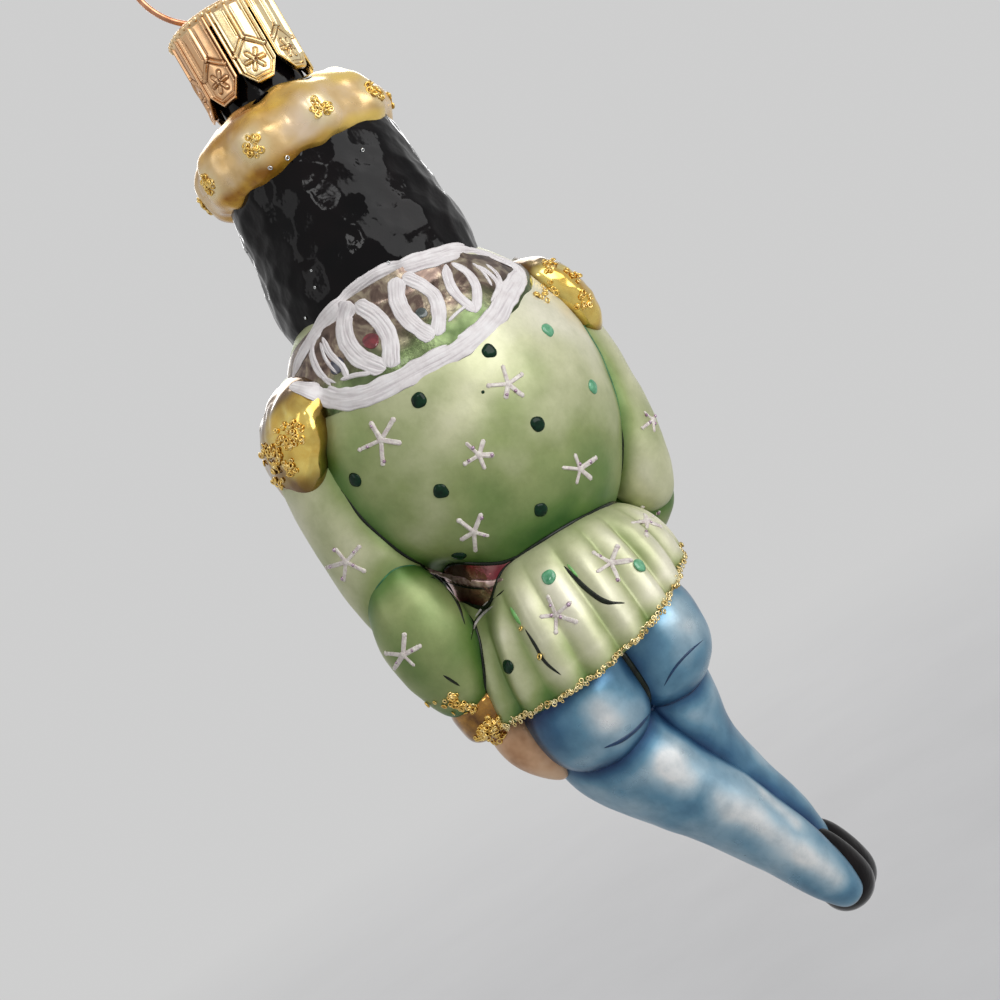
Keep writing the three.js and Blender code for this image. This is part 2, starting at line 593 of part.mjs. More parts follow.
const torsoWall = cut(wall(torsoLobe), [...head, ...pads, ...arms, ...cuffs, ...hands])
  .subtract(waistLobe(-WAIST.inset));
place("jacket_back", largest(half(torsoWall, 1)), green);
place("jacket_front", largest(half(torsoWall, -1)), green);
BUTTON_DEPTHS.forEach((depth, i) => place(`button_${i + 1}`, button(depth), gold));
place("epaulette_left", wallOf(epauletteLobe(1), [torsoLobe, leftArm, hatLobe]), gold);
place("epaulette_right", wallOf(epauletteLobe(-1), [torsoLobe, rightArm, hatLobe]), gold);

const besideLeftArm = [torsoLobe, waistLobe, skirtLobe, collarCut, leftSeat];
const besideRightArm = [torsoLobe, waistLobe, skirtLobe, collarCut, rightSeat];
place("sleeve_left", wallOf(leftArm, [...besideLeftArm, epauletteLobe(1), leftCuffLobe]), green);
place("sleeve_right", wallOf(rightArm, [...besideRightArm, epauletteLobe(-1), rightCuffLobe]), green);
place("cuff_left", wallOf(leftCuffLobe, [...without(besideLeftArm, skirtLobe), leftArm, leftHandLobe]), gold);
place("cuff_right", wallOf(rightCuffLobe, [...without(besideRightArm, skirtLobe), rightArm, rightHandLobe]), gold);
place("hand_left", wallOf(leftHandLobe, [...besideLeftArm, leftCuffLobe, leftArm]), flesh);
place("hand_right", wallOf(rightHandLobe, [...besideRightArm, rightCuffLobe, rightArm]), flesh);
place("waist_sash", wallOf(waistLobe, [torsoLobe, skirtLobe, ...arms, ...cuffs, ...hands]), red);

const besideSkirt = [torsoLobe, waistLobe, ...arms, ...cuffs, ...hands, ...seats];
const skirtWall = cut(wall(skirtLobe), [...besideSkirt, openOut(leftCuffLobe), openOut(leftHandLobe)]);
place("skirt_back", largest(half(skirtWall, 1)), green);
place("skirt_front", largest(half(skirtWall, -1)), green);
place("hem_trim_back", hemTrim(3, PLEATS - 2), gold);
place("hem_trim_front", hemTrim(PLEATS + 1, 2 * PLEATS - 5), gold);

const besideLegs = [skirtLobe, waistLobe, ...boots];
place("trousers_left", wallOf(leftSeat, [...besideLegs, rightSeat]), blue);
place("trousers_right", wallOf(rightSeat, [...besideLegs, leftSeat]), blue);
place("boot_left", wallOf(leftBoot, [...seats, ...without(boots, leftBoot)]), blackGloss);
place("boot_right", wallOf(rightBoot, [...seats, ...without(boots, rightBoot)]), blackGloss);

export default part;
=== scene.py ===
"""Looks of the hanging blown-glass nutcracker ornament. Lengths are in millimetres until a mesh is made."""

import math
import random

import bpy
import numpy as np
from mathutils import Matrix, Vector, noise
from mathutils.bvhtree import BVHTree


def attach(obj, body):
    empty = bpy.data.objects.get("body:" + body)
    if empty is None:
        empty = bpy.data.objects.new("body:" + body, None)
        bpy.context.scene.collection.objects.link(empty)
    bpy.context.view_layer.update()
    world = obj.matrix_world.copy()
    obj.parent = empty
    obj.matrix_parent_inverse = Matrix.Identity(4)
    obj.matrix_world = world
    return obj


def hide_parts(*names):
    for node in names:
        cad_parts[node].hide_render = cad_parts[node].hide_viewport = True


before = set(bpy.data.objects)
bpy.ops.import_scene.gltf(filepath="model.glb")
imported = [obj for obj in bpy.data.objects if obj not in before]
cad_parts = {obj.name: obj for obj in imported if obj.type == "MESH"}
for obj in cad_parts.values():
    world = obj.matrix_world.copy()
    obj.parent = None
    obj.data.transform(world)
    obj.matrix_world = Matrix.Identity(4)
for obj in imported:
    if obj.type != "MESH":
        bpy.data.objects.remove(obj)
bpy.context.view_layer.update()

MM = 0.001
TAU = 2 * math.pi
CAP_TOP_Z = -17.719

# The view of the photograph
PHOTO_SIZE = 1000
TARGET = np.array([0.0, 0.0, -97.2])
DISTANCE = 262.0
AZIMUTH = math.radians(160)
ROLL = math.radians(-30.3)
CENTRE_PX = (495, 492)
LENS = 65.0
SENSOR = 36.0

LEVEL = np.array([math.cos(AZIMUTH), math.sin(AZIMUTH), 0.0])
UPRIGHT = np.array([0.0, 0.0, 1.0])
TOWARDS = np.array([math.sin(AZIMUTH), -math.cos(AZIMUTH), 0.0])
RIGHT = LEVEL * math.cos(ROLL) + UPRIGHT * math.sin(ROLL)
UP = UPRIGHT * math.cos(ROLL) - LEVEL * math.sin(ROLL)
EYE = TARGET + TOWARDS * DISTANCE


def linked(name, data):
    """A new object in the scene."""
    made = bpy.data.objects.new(name, data)
    bpy.context.scene.collection.objects.link(made)
    return made


def make_camera():
    data = bpy.data.cameras.new("camera")
    data.lens = LENS
    data.sensor_width = SENSOR
    data.shift_x = (PHOTO_SIZE / 2 - CENTRE_PX[0]) / PHOTO_SIZE
    data.shift_y = -(PHOTO_SIZE / 2 - CENTRE_PX[1]) / PHOTO_SIZE
    data.clip_start = 0.01
    data.clip_end = 20
    camera = linked("camera", data)
    turn = np.eye(4)
    turn[:3, 0] = RIGHT
    turn[:3, 1] = UP
    turn[:3, 2] = TOWARDS
    turn[:3, 3] = EYE * MM
    camera.matrix_world = Matrix(turn.tolist())
    bpy.context.scene.camera = camera


# Surfaces as grids of points

def at(x, y, depth):
    return np.array([x, y, CAP_TOP_Z - depth], dtype=float)


def round_at(radius, angle, depth):
    return at(radius * math.cos(angle), radius * math.sin(angle), depth)


def depth_of(points):
    """How far one point or a grid of them lies below the cap's top."""
    return CAP_TOP_Z - points[..., 2]


def turns(n):
    """Angles of n steps once round."""
    return TAU * np.arange(n) / n


def unit(vectors):
    return vectors / np.maximum(np.linalg.norm(vectors, axis=-1, keepdims=True), 1e-9)


def spline(points, t, even=False):
    """A Catmull-Rom curve through points at shares t of its way, centripetal unless even."""
    p = np.asarray(points, dtype=float)
    p = np.vstack([2 * p[0] - p[1], p, 2 * p[-1] - p[-2]])
    t = np.clip(np.asarray(t, dtype=float), 0, 1) * (len(p) - 3)
    k = np.minimum(t.astype(int), len(p) - 4)
    w = (t - k)[:, None]
    a, b, c, d = p[k], p[k + 1], p[k + 2], p[k + 3]
    if even:
        m1, m2 = (c - a) / 2, (d - b) / 2
    else:
        steps = ((b, a), (c, b), (d, c))
        g0, g1, g2 = [np.maximum(np.linalg.norm(q - r, axis=1) ** 0.5, 1e-4)[:, None] for q, r in steps]
        m1 = ((b - a) / g0 - (c - a) / (g0 + g1) + (c - b) / g1) * g1
        m2 = ((c - b) / g1 - (d - b) / (g1 + g2) + (d - c) / g2) * g1
    return b + m1 * w + (3 * (c - b) - 2 * m1 - m2) * w ** 2 + (2 * (b - c) + m1 + m2) * w ** 3


def normals_of(grid):
    """Outward normals of a grid of rings that runs down the figure."""
    down = np.gradient(grid, axis=0)
    wide = np.concatenate([grid[:, -1:], grid, grid[:, :1]], axis=1)
    return unit(np.cross(down, (wide[:, 2:] - wide[:, :-2]) / 2))


def lobe(stations, blunt=2.0, columns=96, rows=64, relief=None):
    """The grid of a moulded lobe along stations of x, y, depth, half-width and half-thickness."""
    st = np.asarray(stations, dtype=float)
    t = (1 - np.cos(np.pi * np.arange(rows + 1) / rows)) / 2
    t[0], t[-1] = 2e-5, 1 - 2e-5
    path = np.array([at(*s[:3]) for s in st])
    centre = spline(path, t)
    step = 1e-3
    tangent = unit(spline(path, np.minimum(t + step, 1)) - spline(path, np.maximum(t - step, 0)))
    side = unit(np.array([1.0, 0, 0]) - tangent * tangent[:, :1])
    back = -np.cross(tangent, side)
    size = spline(st[:, 3:5], t, even=True)
    full = (1 - np.abs(2 * t - 1) ** blunt) ** (1 / blunt)
    turn = turns(columns)
    a, b = size[:, :1] * full[:, None], size[:, 1:] * full[:, None]
    grid = (centre[:, None] + (a * np.cos(turn))[..., None] * side[:, None]
            + (b * np.sin(turn))[..., None] * back[:, None])
    if relief is not None:
        grid = grid + normals_of(grid) * relief(grid, turn, t)[..., None]
    return grid


def ball(rows, columns):
    """A unit ball as a grid."""
    v = np.pi * np.linspace(0.001, 0.999, rows)
    u = turns(columns)
    parts = ((np.sin(v), np.cos(u)), (np.sin(v), np.sin(u)), (np.cos(v), np.ones(columns)))
    return np.stack([np.outer(a, b) for a, b in parts], axis=2)


def waves(grid, scale, seed, octaves=2):
    """Smooth noise between about -1 and 1 at the points of a grid, with features of a size in mm."""
    flat = grid.reshape(-1, 3) / scale + seed
    out = np.array([noise.fractal(Vector(p), 0.6, 2.0, octaves) for p in flat])
    return out.reshape(grid.shape[:-1])


def wavy(height, size, seed, octaves=2):
    """A relief of soft waves for a lobe."""
    return lambda grid, turn, t: height * waves(grid, size, seed, octaves)


def faces_of(rows, columns):
    """Quads of a grid of closed rings, facing out where the rings run down the figure."""
    faces = []
    for r in range(rows - 1):
        above, below = r * columns, (r + 1) * columns
        for c in range(columns):
            n = (c + 1) % columns
            faces.append((above + c, below + c, below + n, above + n))
    return faces


class Pile:
    """Points, faces and values that end up in one mesh."""

    def __init__(self):
        self.points = []
        self.faces = []
        self.values = {}
        self.count = 0

    def add(self, points, faces, **values):
        self.faces += [tuple(i + self.count for i in f) for f in faces]
        self.points.append(np.asarray(points, dtype=float).reshape(-1, 3))
        for name in sorted(set(values) | set(self.values)):
            given = np.asarray(values.get(name, 0.0), dtype=float).ravel()
            row = np.broadcast_to(given, (len(self.points[-1]),))
            self.values.setdefault(name, [np.zeros(self.count)] if self.count else []).append(row)
        self.count += len(self.points[-1])

    def grid(self, grid, capped=True, **values):
        rows, columns = grid.shape[:2]
        faces = faces_of(rows, columns)
        if capped:
            faces.append(tuple(range(columns)))
            faces.append(tuple((rows - 1) * columns + c for c in reversed(range(columns))))
        self.add(grid, faces, **values)

    def make(self, name, look, replaces=(), slot=None, body="figure"):
        mesh = bpy.data.meshes.new(name)
        points = np.vstack(self.points)
        mesh.from_pydata((points * MM).tolist(), [], self.faces)
        for value, rows in self.values.items():
            layer = mesh.attributes.new(value, "FLOAT", "POINT")
            layer.data.foreach_set("value", np.concatenate(rows).astype(np.float32))
        mesh.polygons.foreach_set("use_smooth", [True] * len(mesh.polygons))
        mesh.materials.append(LOOKS[look])
        mesh.update()
        piece = linked(name, mesh)
        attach(piece, body)
        if replaces:
            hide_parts(*replaces)


def add_form(name, look, grid, replaces, slot, capped=True, **values):
    """A piece of one grid."""
    pile = Pile()
    pile.grid(grid, capped=capped, **values)
    pile.make(name, look, replaces, slot)


# The figure's forms, with the same sizes as the solids

FLORETS = 9
FLORET_DEPTH = 21.9
FLORET_RADIUS = 1.75
FLORET_RINGS = 22


def band_angle(i):
    return math.radians(92) + TAU * i / FLORETS


def hat_relief(grid, turn, t):
    """Shallow dimples that meet in soft ridges, as in hammered glass."""
    flat = grid.reshape(-1, 3) / 3.3
    bowl = np.array([min(0.8, noise.voronoi(Vector(p))[0][0]) for p in flat]).reshape(grid.shape[:2])
    return 0.55 * bowl ** 1.6 - 0.22 + 0.3 * waves(grid, 5.0, 3.0, 1)


def band_relief(grid, turn, t):
    """The roll's soft lumps and its wandering edges."""
    lump = 0.5 * np.cos(FLORETS * (turn - band_angle(0)))[None, :] * np.sin(np.pi * t)[:, None]
    return lump + 0.55 * waves(grid, 5.5, 1.0)


crown = lobe([(0, 0, d, 12.4, 12.4) for d in (14.4, 26)], blunt=3.4, relief=wavy(0.3, 4.0, 5.0, 1))
band = lobe([(0, 0, d, r, r) for d, r in ((14.4, 14), (21.6, 15.2), (28.0, 15.1))],
            blunt=3.0, columns=180, relief=band_relief)
hat = lobe([(-0.8, 0, d, r, r) for d, r in ((20.5, 13.6), (27, 13.9), (35, 14.6), (44, 15.6), (64, 14))],
           blunt=5, columns=220, rows=150, relief=hat_relief)
face = lobe([(0, -5.2, d, r, 12.4) for d, r in ((33, 12.4), (45, 12.4), (58, 11.2))], blunt=2.6)
nose = lobe([(0, -16.4, 40.5, 1.4, 1.6), (0, -17.9, 43.6, 2.0, 2.2), (0, -17.4, 46.2, 2.1, 2.0)],
            columns=32, rows=24)

TORSO = dict(top=40.5, bottom=95, y=1.5, width=23.4, depth=18.6)
TORSO_MID = (TORSO["top"] + TORSO["bottom"]) / 2
TORSO_HALF = (TORSO["bottom"] - TORSO["top"]) / 2
DENT = np.array([14.2, 4.8, -106.4])
DENT_DEPTH = 4.0
DENT_REACH = 6.5


def torso_relief(grid, turn, t):
    """Soft waves, and the hollow over the recess by the left elbow."""
    far = np.linalg.norm(grid - DENT, axis=2)
    return 0.22 * waves(grid, 9.0, 2.0) - DENT_DEPTH * np.exp(-((far / DENT_REACH) ** 2))


torso = lobe([(0, TORSO["y"], d, TORSO["width"], TORSO["depth"])
              for d in (TORSO["top"], TORSO_MID, TORSO["bottom"])],
             columns=160, rows=110, relief=torso_relief)


def upper_arm(sign):
    return lobe([(sign * 16.2, 0, 51, 6.0, 6.5), (sign * 20.2, 0, 62, 6.6, 7.4),
                 (sign * 21.0, 0.5, 78, 6.6, 7.4), (sign * 20.7, 1.0, 94, 6.6, 7.0)],
                blunt=2.6, relief=wavy(0.15, 6.0, 4.0))


left_forearm = lobe([(21.1, 4.0, 79, 5.4, 5.0), (20.9, 3.4, 91, 6.7, 6.6),
                     (19.4, 1.6, 100, 5.6, 5.8), (18.4, 0.6, 104.5, 4.8, 5.0)],
                    blunt=2.6, relief=wavy(0.12, 5.0, 6.0))
right_forearm = lobe([(-21.0, 1.5, 88, 6.0, 6.2), (-19.8, -6, 91.5, 5.6, 6.4), (-15.0, -14, 93.0, 4.6, 5.4)],
                     blunt=2.6, relief=wavy(0.12, 5.0, 6.0))
left_cuff = lobe([(18.4, 1.0, 101.8, 4.9, 5.2), (17.0, 0.4, 108.6, 4.9, 5.2)], blunt=4, columns=64, rows=32)
right_cuff = lobe([(-16.4, -12.2, 92.8, 4.9, 5.3), (-12.4, -16.6, 93.6, 4.9, 5.3)],
                  blunt=4, columns=64, rows=32)
left_hand = lobe([(17.2, 0.6, 104.6, 3.9, 3.9), (15.0, 0.8, 112.5, 3.9, 3.9), (12.8, 1.2, 119.6, 2.6, 3.0)],
                 columns=64, rows=40)
right_hand = lobe([(-15.2, -13.4, 93.4, 3.9, 3.9), (-8.4, -19.0, 94.8, 3.9, 3.9),
                   (-2.8, -20.6, 95.6, 2.8, 3.4)], columns=64, rows=40)


def epaulette(sign):
    """A shoulder pad with soft fringe grooves."""
    def relief(grid, turn, t):
        return 0.35 * waves(grid, 3.4, 8.0 + sign) * np.sin(np.pi * t)[:, None]
    return lobe([(sign * 14.8, 0.4, 53.4, 4.8, 9.6), (sign * 21.2, 0.4, 58.2, 5.0, 10.6),
                 (sign * 24.9, 0.4, 67.6, 3.4, 9.2)], blunt=3, relief=relief)


waist = lobe([(0, 1.0, d, 13.6, 12.6) for d in (80, 90, 101)], blunt=6, relief=wavy(0.35, 3.0, 7.0))


def buttock(sign, top):
    return lobe([(sign * 6.4, 5.4, top + d, 8.9, 9.4) for d in (0, 10, 20)],
                blunt=2.3, relief=wavy(0.15, 6.0, 11.0))


left_leg = lobe([(5.4, 0.5, 98, 9.4, 12.0), (4.6, 0.6, 118, 8.7, 10.0), (0.2, 1.2, 127, 7.2, 8.4),
                 (-5.4, 1.8, 136, 5.8, 7.0), (-10.8, 2.0, 146, 5.0, 6.0), (-16.2, 2.0, 157.8, 4.4, 4.8)],
                blunt=3.4, rows=120, relief=wavy(0.14, 7.0, 12.0))
right_leg = lobe([(-5.4, 0, 98, 9.2, 12.0), (-6.4, -0.6, 116, 8.2, 10.0), (-7.4, -2.2, 126, 6.7, 8.2),
                  (-10.5, -3.0, 135, 5.7, 7.0), (-14.6, -3.0, 145, 5.0, 6.0), (-17.4, -2.6, 155.5, 4.0, 4.6)],
                 blunt=3.2, rows=120, relief=wavy(0.14, 7.0, 13.0))


def boot(x, y):
    return lobe([(x + 2.4, y + 1.4, 146, 4.4, 4.4), (x, y, 155.4, 4.4, 4.4),
                 (x - 1.8, y - 4.0, 158.2, 3.6, 2.6), (x - 4.2, y - 9.5, 158.6, 2.8, 2.0)],
                blunt=2.8, columns=64)


# The pleated skirt

PLEATS = 20
HEM = 107.8
SKIRT_TOP = 88.3
SKIRT_WAIST = (12.6, 11.6)
SKIRT_HEM = (18.6, 18.4)
SKIRT_Y = 1.0
# The dip of the skirt's top over the recess: its angle, width and depth
DIP_ANGLE = math.radians(27)
DIP_WIDTH = math.radians(16)
DIP_DEPTH = 3.5


def hem_depth(x):
    return HEM - 0.0073 * np.maximum(0, 16 - x) ** 2


def skirt_point(angle, t, grow=0.0, pleat=1.0):
    """A point of the skirt's outside, t of the way down, with its folds."""
    fall = (angle - DIP_ANGLE + math.pi) % TAU - math.pi
    top = SKIRT_TOP + math.cos(angle) ** 2 + DIP_DEPTH * math.exp(-((fall / DIP_WIDTH) ** 2))
    swell = math.sin(math.pi / 2 * t) ** 0.5 if t > 0 else 0.0
    c, s = math.cos(angle), math.sin(angle)
    wander = angle * PLEATS + 0.8 * noise.noise(Vector((3 * c, 3 * s, t * 1.5)))
    height = 0.8 * (0.8 + 0.6 * noise.noise(Vector((5 * c, 5 * s, 4))))
    fold = math.sqrt(math.cos(wander / 2) ** 2 + 0.025)
    ripple = pleat * height * (fold * 2 - 1.2) * min(1, t * 3) + grow
    a, b = [narrow + (wide - narrow) * swell + ripple for narrow, wide in zip(SKIRT_WAIST, SKIRT_HEM)]
    x = a * c
    return at(x, SKIRT_Y + b * s, top - grow + (hem_depth(x) - top + 2 * grow) * t)


def skirt_grid():
    ts = np.concatenate([np.linspace(0, 0.2, 14)[:-1], np.linspace(0.2, 1, 34)])
    angles = turns(480)
    grid = np.array([[skirt_point(a, t) for a in angles] for t in ts])
    ridge = np.array([[abs(math.cos((a * PLEATS) / 2)) * min(1, t * 3) for a in angles] for t in ts])
    inner = []
    for share, fall in ((0.985, 0.45), (0.94, 0.7), (0.85, 0.2), (0.75, -2.0)):
        ring = grid[-1].copy()
        ring[:, :2] *= share
        ring[:, 2] -= fall
        inner.append(ring)
    grid = np.vstack([grid, inner])
    ridge = np.vstack([ridge, np.repeat(ridge[-1:], len(inner), axis=0) * 0.5])
    return grid, ridge


skirt, skirt_ridge = skirt_grid()


def torso_radius(angle, depth):
    share = max(0.02, 1 - ((depth - TORSO_MID) / TORSO_HALF) ** 2) ** 0.5
    a, b, y = TORSO["width"] * share, TORSO["depth"] * share, TORSO["y"]
    k = (math.cos(angle) / a) ** 2 + (math.sin(angle) / b) ** 2
    m = y * math.sin(angle) / b ** 2
    return (m + math.sqrt(max(0, m * m - k * ((y / b) ** 2 - 1)))) / k


# The collar: where its middle is, how far it reaches to each side in degrees, and its edges' depths
COLLAR_MIDDLE = 76
COLLAR_LEFT, COLLAR_RIGHT = 84, 78
COLLAR_TOP, COLLAR_RISE = 50.6, 4.1
COLLAR_FOOT, COLLAR_FALL = 52.8, 7.6
COLLAR_RADIUS = 15.6


def collar_lens(angle):
    """The collar's share of its full height at an angle."""
    away = (math.degrees(angle) - COLLAR_MIDDLE + 180) % 360 - 180
    return (1 - min(1, abs(away) / (COLLAR_RIGHT if away > 0 else COLLAR_LEFT)) ** 2.4) ** 0.6


def collar_grid():
    rows = []
    for t in np.linspace(0, 1, 22):
        ring = []
        for a in turns(240):
            lens = collar_lens(a)
            drop_off = 3 * math.exp(-(((math.degrees(a) - 148) / 20) ** 2))
            high = COLLAR_TOP - COLLAR_RISE * lens + drop_off
            low = COLLAR_FOOT + COLLAR_FALL * lens
            depth = high + (low - high) * t
            r = max(torso_radius(a, depth), COLLAR_RADIUS) + 0.28 * min(1, (1 - t) * 8)
            ring.append(round_at(r, a, depth))
        rows.append(ring)
    return np.array(rows)


collar = collar_grid()

# Where a pixel of the photograph meets the figure

FORMS = {
    "crown": crown, "band": band, "hat": hat, "face": face, "collar": collar, "torso": torso, "waist": waist,
    "skirt": skirt, "left_upper": upper_arm(1), "right_upper": upper_arm(-1), "left_forearm": left_forearm,
    "right_forearm": right_forearm, "left_cuff": left_cuff, "right_cuff": right_cuff, "left_hand": left_hand,
    "right_hand": right_hand, "left_pad": epaulette(1), "right_pad": epaulette(-1),
    "left_buttock": buttock(1, 101), "right_buttock": buttock(-1, 98.5), "left_leg": left_leg,
    "right_leg": right_leg, "left_boot": boot(-17.0, -0.6), "right_boot": boot(-19.4, -3.6),
}


def tree_of(names):
    pile = Pile()
    for name in names:
        pile.grid(FORMS[name], capped=False)
    return BVHTree.FromPolygons(np.vstack(pile.points).tolist(), pile.faces)


FIGURE = tree_of(FORMS)
FOCAL = LENS / SENSOR * PHOTO_SIZE
CROSSING_STEP = 0.6
CROSSING_REACH = 4.0


def on_figure(px, py):
    """The point and outward normal where a pixel of the photograph meets the figure."""
    way = -TOWARDS * FOCAL + RIGHT * (px - CENTRE_PX[0]) - UP * (py - CENTRE_PX[1])
    hit, normal, _, _ = FIGURE.ray_cast(Vector(EYE), Vector(way))
    if hit is None:
        return None
    if normal.dot(Vector(way)) > 0:
        normal = -normal
    return np.array(hit), np.array(normal)


def near(point, tree=None):
    """The nearest place on the figure, with its normal."""
    hit, normal, _, _ = (tree or FIGURE).find_nearest(Vector(point))
    return np.array(hit), np.array(normal)


def eased(values, times):
    """A line of values with its small steps smoothed away."""
    for _ in range(times):
        values = np.vstack([values[:1], (values[:-2] + 2 * values[1:-1] + values[2:]) / 4, values[-1:]])
    return values


def closeness(grid, other, reach):
    """How near each point of a grid is to another form: 1 on it, 0 at reach."""
    tree = tree_of(other)
    flat = grid.reshape(-1, 3)
    out = np.zeros(len(flat))
    for i, p in enumerate(flat):
        hit = tree.find_nearest(Vector(p), reach)
        if hit[0] is not None:
            out[i] = 1 - hit[3] / reach
    return out.reshape(grid.shape[:2])


def crossing(name, other, key, keep):
    """The line on one form where it meets another, with its points sorted by a key."""
    grid, tree = FORMS[name], tree_of([other])
    rows, columns = grid.shape[:2]
    away = np.full((rows, columns), 2 * CROSSING_REACH)
    for r in range(rows):
        for c in range(columns):
            if keep(grid[r, c]):
                hit, normal, _, far = tree.find_nearest(Vector(grid[r, c]), CROSSING_REACH)
                if hit is not None:
                    away[r, c] = far if (Vector(grid[r, c]) - hit).dot(normal) > 0 else -far
    found = []
    for dr, dc in ((1, 0), (0, 1)):
        a, b = away, np.roll(away, (-dr, -dc), axis=(0, 1))
        q = np.roll(grid, (-dr, -dc), axis=(0, 1))
        meets = (a * b < 0) & (np.abs(a) < CROSSING_REACH) & (np.abs(b) < CROSSING_REACH)
        for r, c in zip(*np.nonzero(meets)):
            if r + dr < rows:
                found.append(grid[r, c] + (q[r, c] - grid[r, c]) * a[r, c] / (a[r, c] - b[r, c]))
    found = np.array(found)
    order = np.array([key(p) for p in found])
    slots = np.floor((order - order.min()) / CROSSING_STEP).astype(int)
    return eased(np.array([found[slots == k].mean(axis=0) for k in np.unique(slots)]), 2)


# Finishes


class Look:
    """A material with short ways to add its nodes. Scales are in millimetres."""

    def __init__(self, name, rough, metal=0.0, **more):
        self.material = bpy.data.materials.new(name)
        self.material.use_nodes = True
        self.tree = self.material.node_tree
        self.shader = self.tree.nodes["Principled BSDF"]
        self.shader.inputs["Roughness"].default_value = rough
        self.shader.inputs["Metallic"].default_value = metal
        for key, value in more.items():
            self.shader.inputs[key.replace("_", " ")].default_value = value
        self.place = self.tree.nodes.new("ShaderNodeTexCoord").outputs["Object"]

    def node(self, kind, settings=None, **inputs):
        made = self.tree.nodes.new(kind)
        for key, value in (settings or {}).items():
            setattr(made, key, value)
        for key, value in inputs.items():
            self.join(value, made.inputs[int(key[1:]) if key[0] == "_" else key])
        return made

    def join(self, value, socket):
        if isinstance(value, bpy.types.NodeSocket):
            self.tree.links.new(value, socket)
        elif isinstance(value, tuple) and len(value) == 3 and socket.type == "RGBA":
            socket.default_value = (*value, 1)
        else:
            socket.default_value = value

    def noise(self, size, detail, rough=0.55, twist=0.0):
        spot = self.node("ShaderNodeMapping", Vector=self.place, Scale=(1 / (size * MM),) * 3)
        return self.node("ShaderNodeTexNoise", Vector=spot.outputs[0], Scale=1.0, Detail=detail,
                         Roughness=rough, Distortion=twist).outputs["Fac"]

    def cloud(self, size, detail, *stops, rough=0.55, twist=0.0):
        """Colours or levels at stops of a noise with features of a size."""
        return self.ramp(self.noise(size, detail, rough, twist), *stops)

    def tone(self, size, detail, reach):
        """The mesh's tone, shifted by soft clouds."""
        drift = self.math("MULTIPLY", self.math("SUBTRACT", self.noise(size, detail), 0.5), reach)
        return self.math("ADD", self.value("tone"), drift)

    def value(self, name):
        return self.node("ShaderNodeAttribute", {"attribute_name": name}).outputs["Fac"]

    def math(self, operation, a, b):
        return self.node("ShaderNodeMath", {"operation": operation}, _0=a, _1=b).outputs[0]

    def ramp(self, fac, *stops):
        made = self.node("ShaderNodeValToRGB", Fac=fac)
        elements = made.color_ramp.elements
        while len(elements) < len(stops):
            elements.new(0.5)
        for element, (where, colour) in zip(elements, stops):
            element.position = where
            element.color = (*colour, 1) if isinstance(colour, tuple) else (colour, colour, colour, 1)
        return made.outputs["Color"]

    def mix(self, fac, a, b, blend="MIX"):
        made = self.node("ShaderNodeMix", {"data_type": "RGBA", "blend_type": blend})
        for socket, value in ((made.inputs[0], fac), (made.inputs[6], a), (made.inputs[7], b)):
            self.join(value, socket)
        return made.outputs[2]

    def colour(self, value):
        self.join(value, self.shader.inputs["Base Color"])

    def roughness(self, value):
        self.join(value, self.shader.inputs["Roughness"])

    def bump(self, size, detail, strength, distance):
        height = self.noise(size, detail)
        made = self.node("ShaderNodeBump", Height=height, Strength=strength, Distance=distance * MM)
        self.join(made.outputs[0], self.shader.inputs["Normal"])
        return self


def finish(name, rough, metal, cloud, bump=None, mask=None, twist=0.0, gloss_cloud=None, **more):
    """A clouded finish, with a second colour where a value of the mesh asks for it."""
    look = Look(name, rough, metal, **more)
    colour = look.cloud(*cloud, twist=twist)
    if mask:
        colour = look.mix(look.value(mask[0]), colour, mask[1])
    look.colour(colour)
    if gloss_cloud:
        look.roughness(look.cloud(*gloss_cloud))
    if bump:
        look.bump(*bump)
    return look.material


def paint(name, dark, light, rough=0.3, metal=0.0, size=1.0, coat=0.0, gloss=0.5):
    return finish(name, rough, metal, (size, 3, (0.3, dark), (0.75, light)), (size * 0.4, 3, 0.15, 0.08),
                  Coat_Weight=coat, Coat_Roughness=0.05, Specular_IOR_Level=gloss)


def skin_lacquer(name, dark, middle, light):
    return finish(name, 0.36, 0.18, (5.0, 3, (0.3, dark), (0.55, middle), (0.8, light)),
                  (1.2, 3, 0.1, 0.15), Coat_Weight=0.2, Coat_Roughness=0.2)


def cap_gold():
    look = Look("stamped_gold", 0.24, 1.0)
    tone = look.cloud(2.5, 3, (0.3, (0.92, 0.66, 0.32)), (0.7, (1.0, 0.86, 0.54)))
    # The copper value is an even copper tint on the rim and the beads; on the petals it is painted shade,
    # strongest on the +x side, away from the key lamp.
    tone = look.mix(look.value("copper"), tone, (0.72, 0.38, 0.20))
    look.colour(look.mix(look.ramp(look.value("sunk"), (0.25, 0.0), (0.9, 1.0)), tone, (0.16, 0.06, 0.02)))
    look.roughness(look.cloud(0.6, 5, (0.3, 0.16), (0.8, 0.36)))
    return look.bump(0.25, 4, 0.12, 0.05).material


def band_pearl():
    look = Look("cream_pearl", 0.3, 0.55, Coat_Weight=0.25, Coat_Roughness=0.12)
    pearl = look.cloud(6.0, 3, (0.3, (0.60, 0.37, 0.12)), (0.5, (0.80, 0.56, 0.27)),
                       (0.75, (0.92, 0.72, 0.52)))
    amber = look.cloud(3.5, 3, (0.35, (0.42, 0.17, 0.010)), (0.7, (0.86, 0.50, 0.05)))
    # The glow value is painted light: it pales the amber towards -x, the side facing the key lamp.
    amber = look.mix(look.value("glow"), amber, (0.93, 0.66, 0.16))
    pearl = look.mix(look.math("MULTIPLY", look.value("halo"), 0.75), pearl, (0.96, 0.84, 0.50))
    look.colour(look.mix(look.value("amber"), pearl, amber))
    look.roughness(look.cloud(5.0, 3, (0.3, 0.18), (0.7, 0.36)))
    return look.bump(1.6, 3, 0.12, 0.2).material


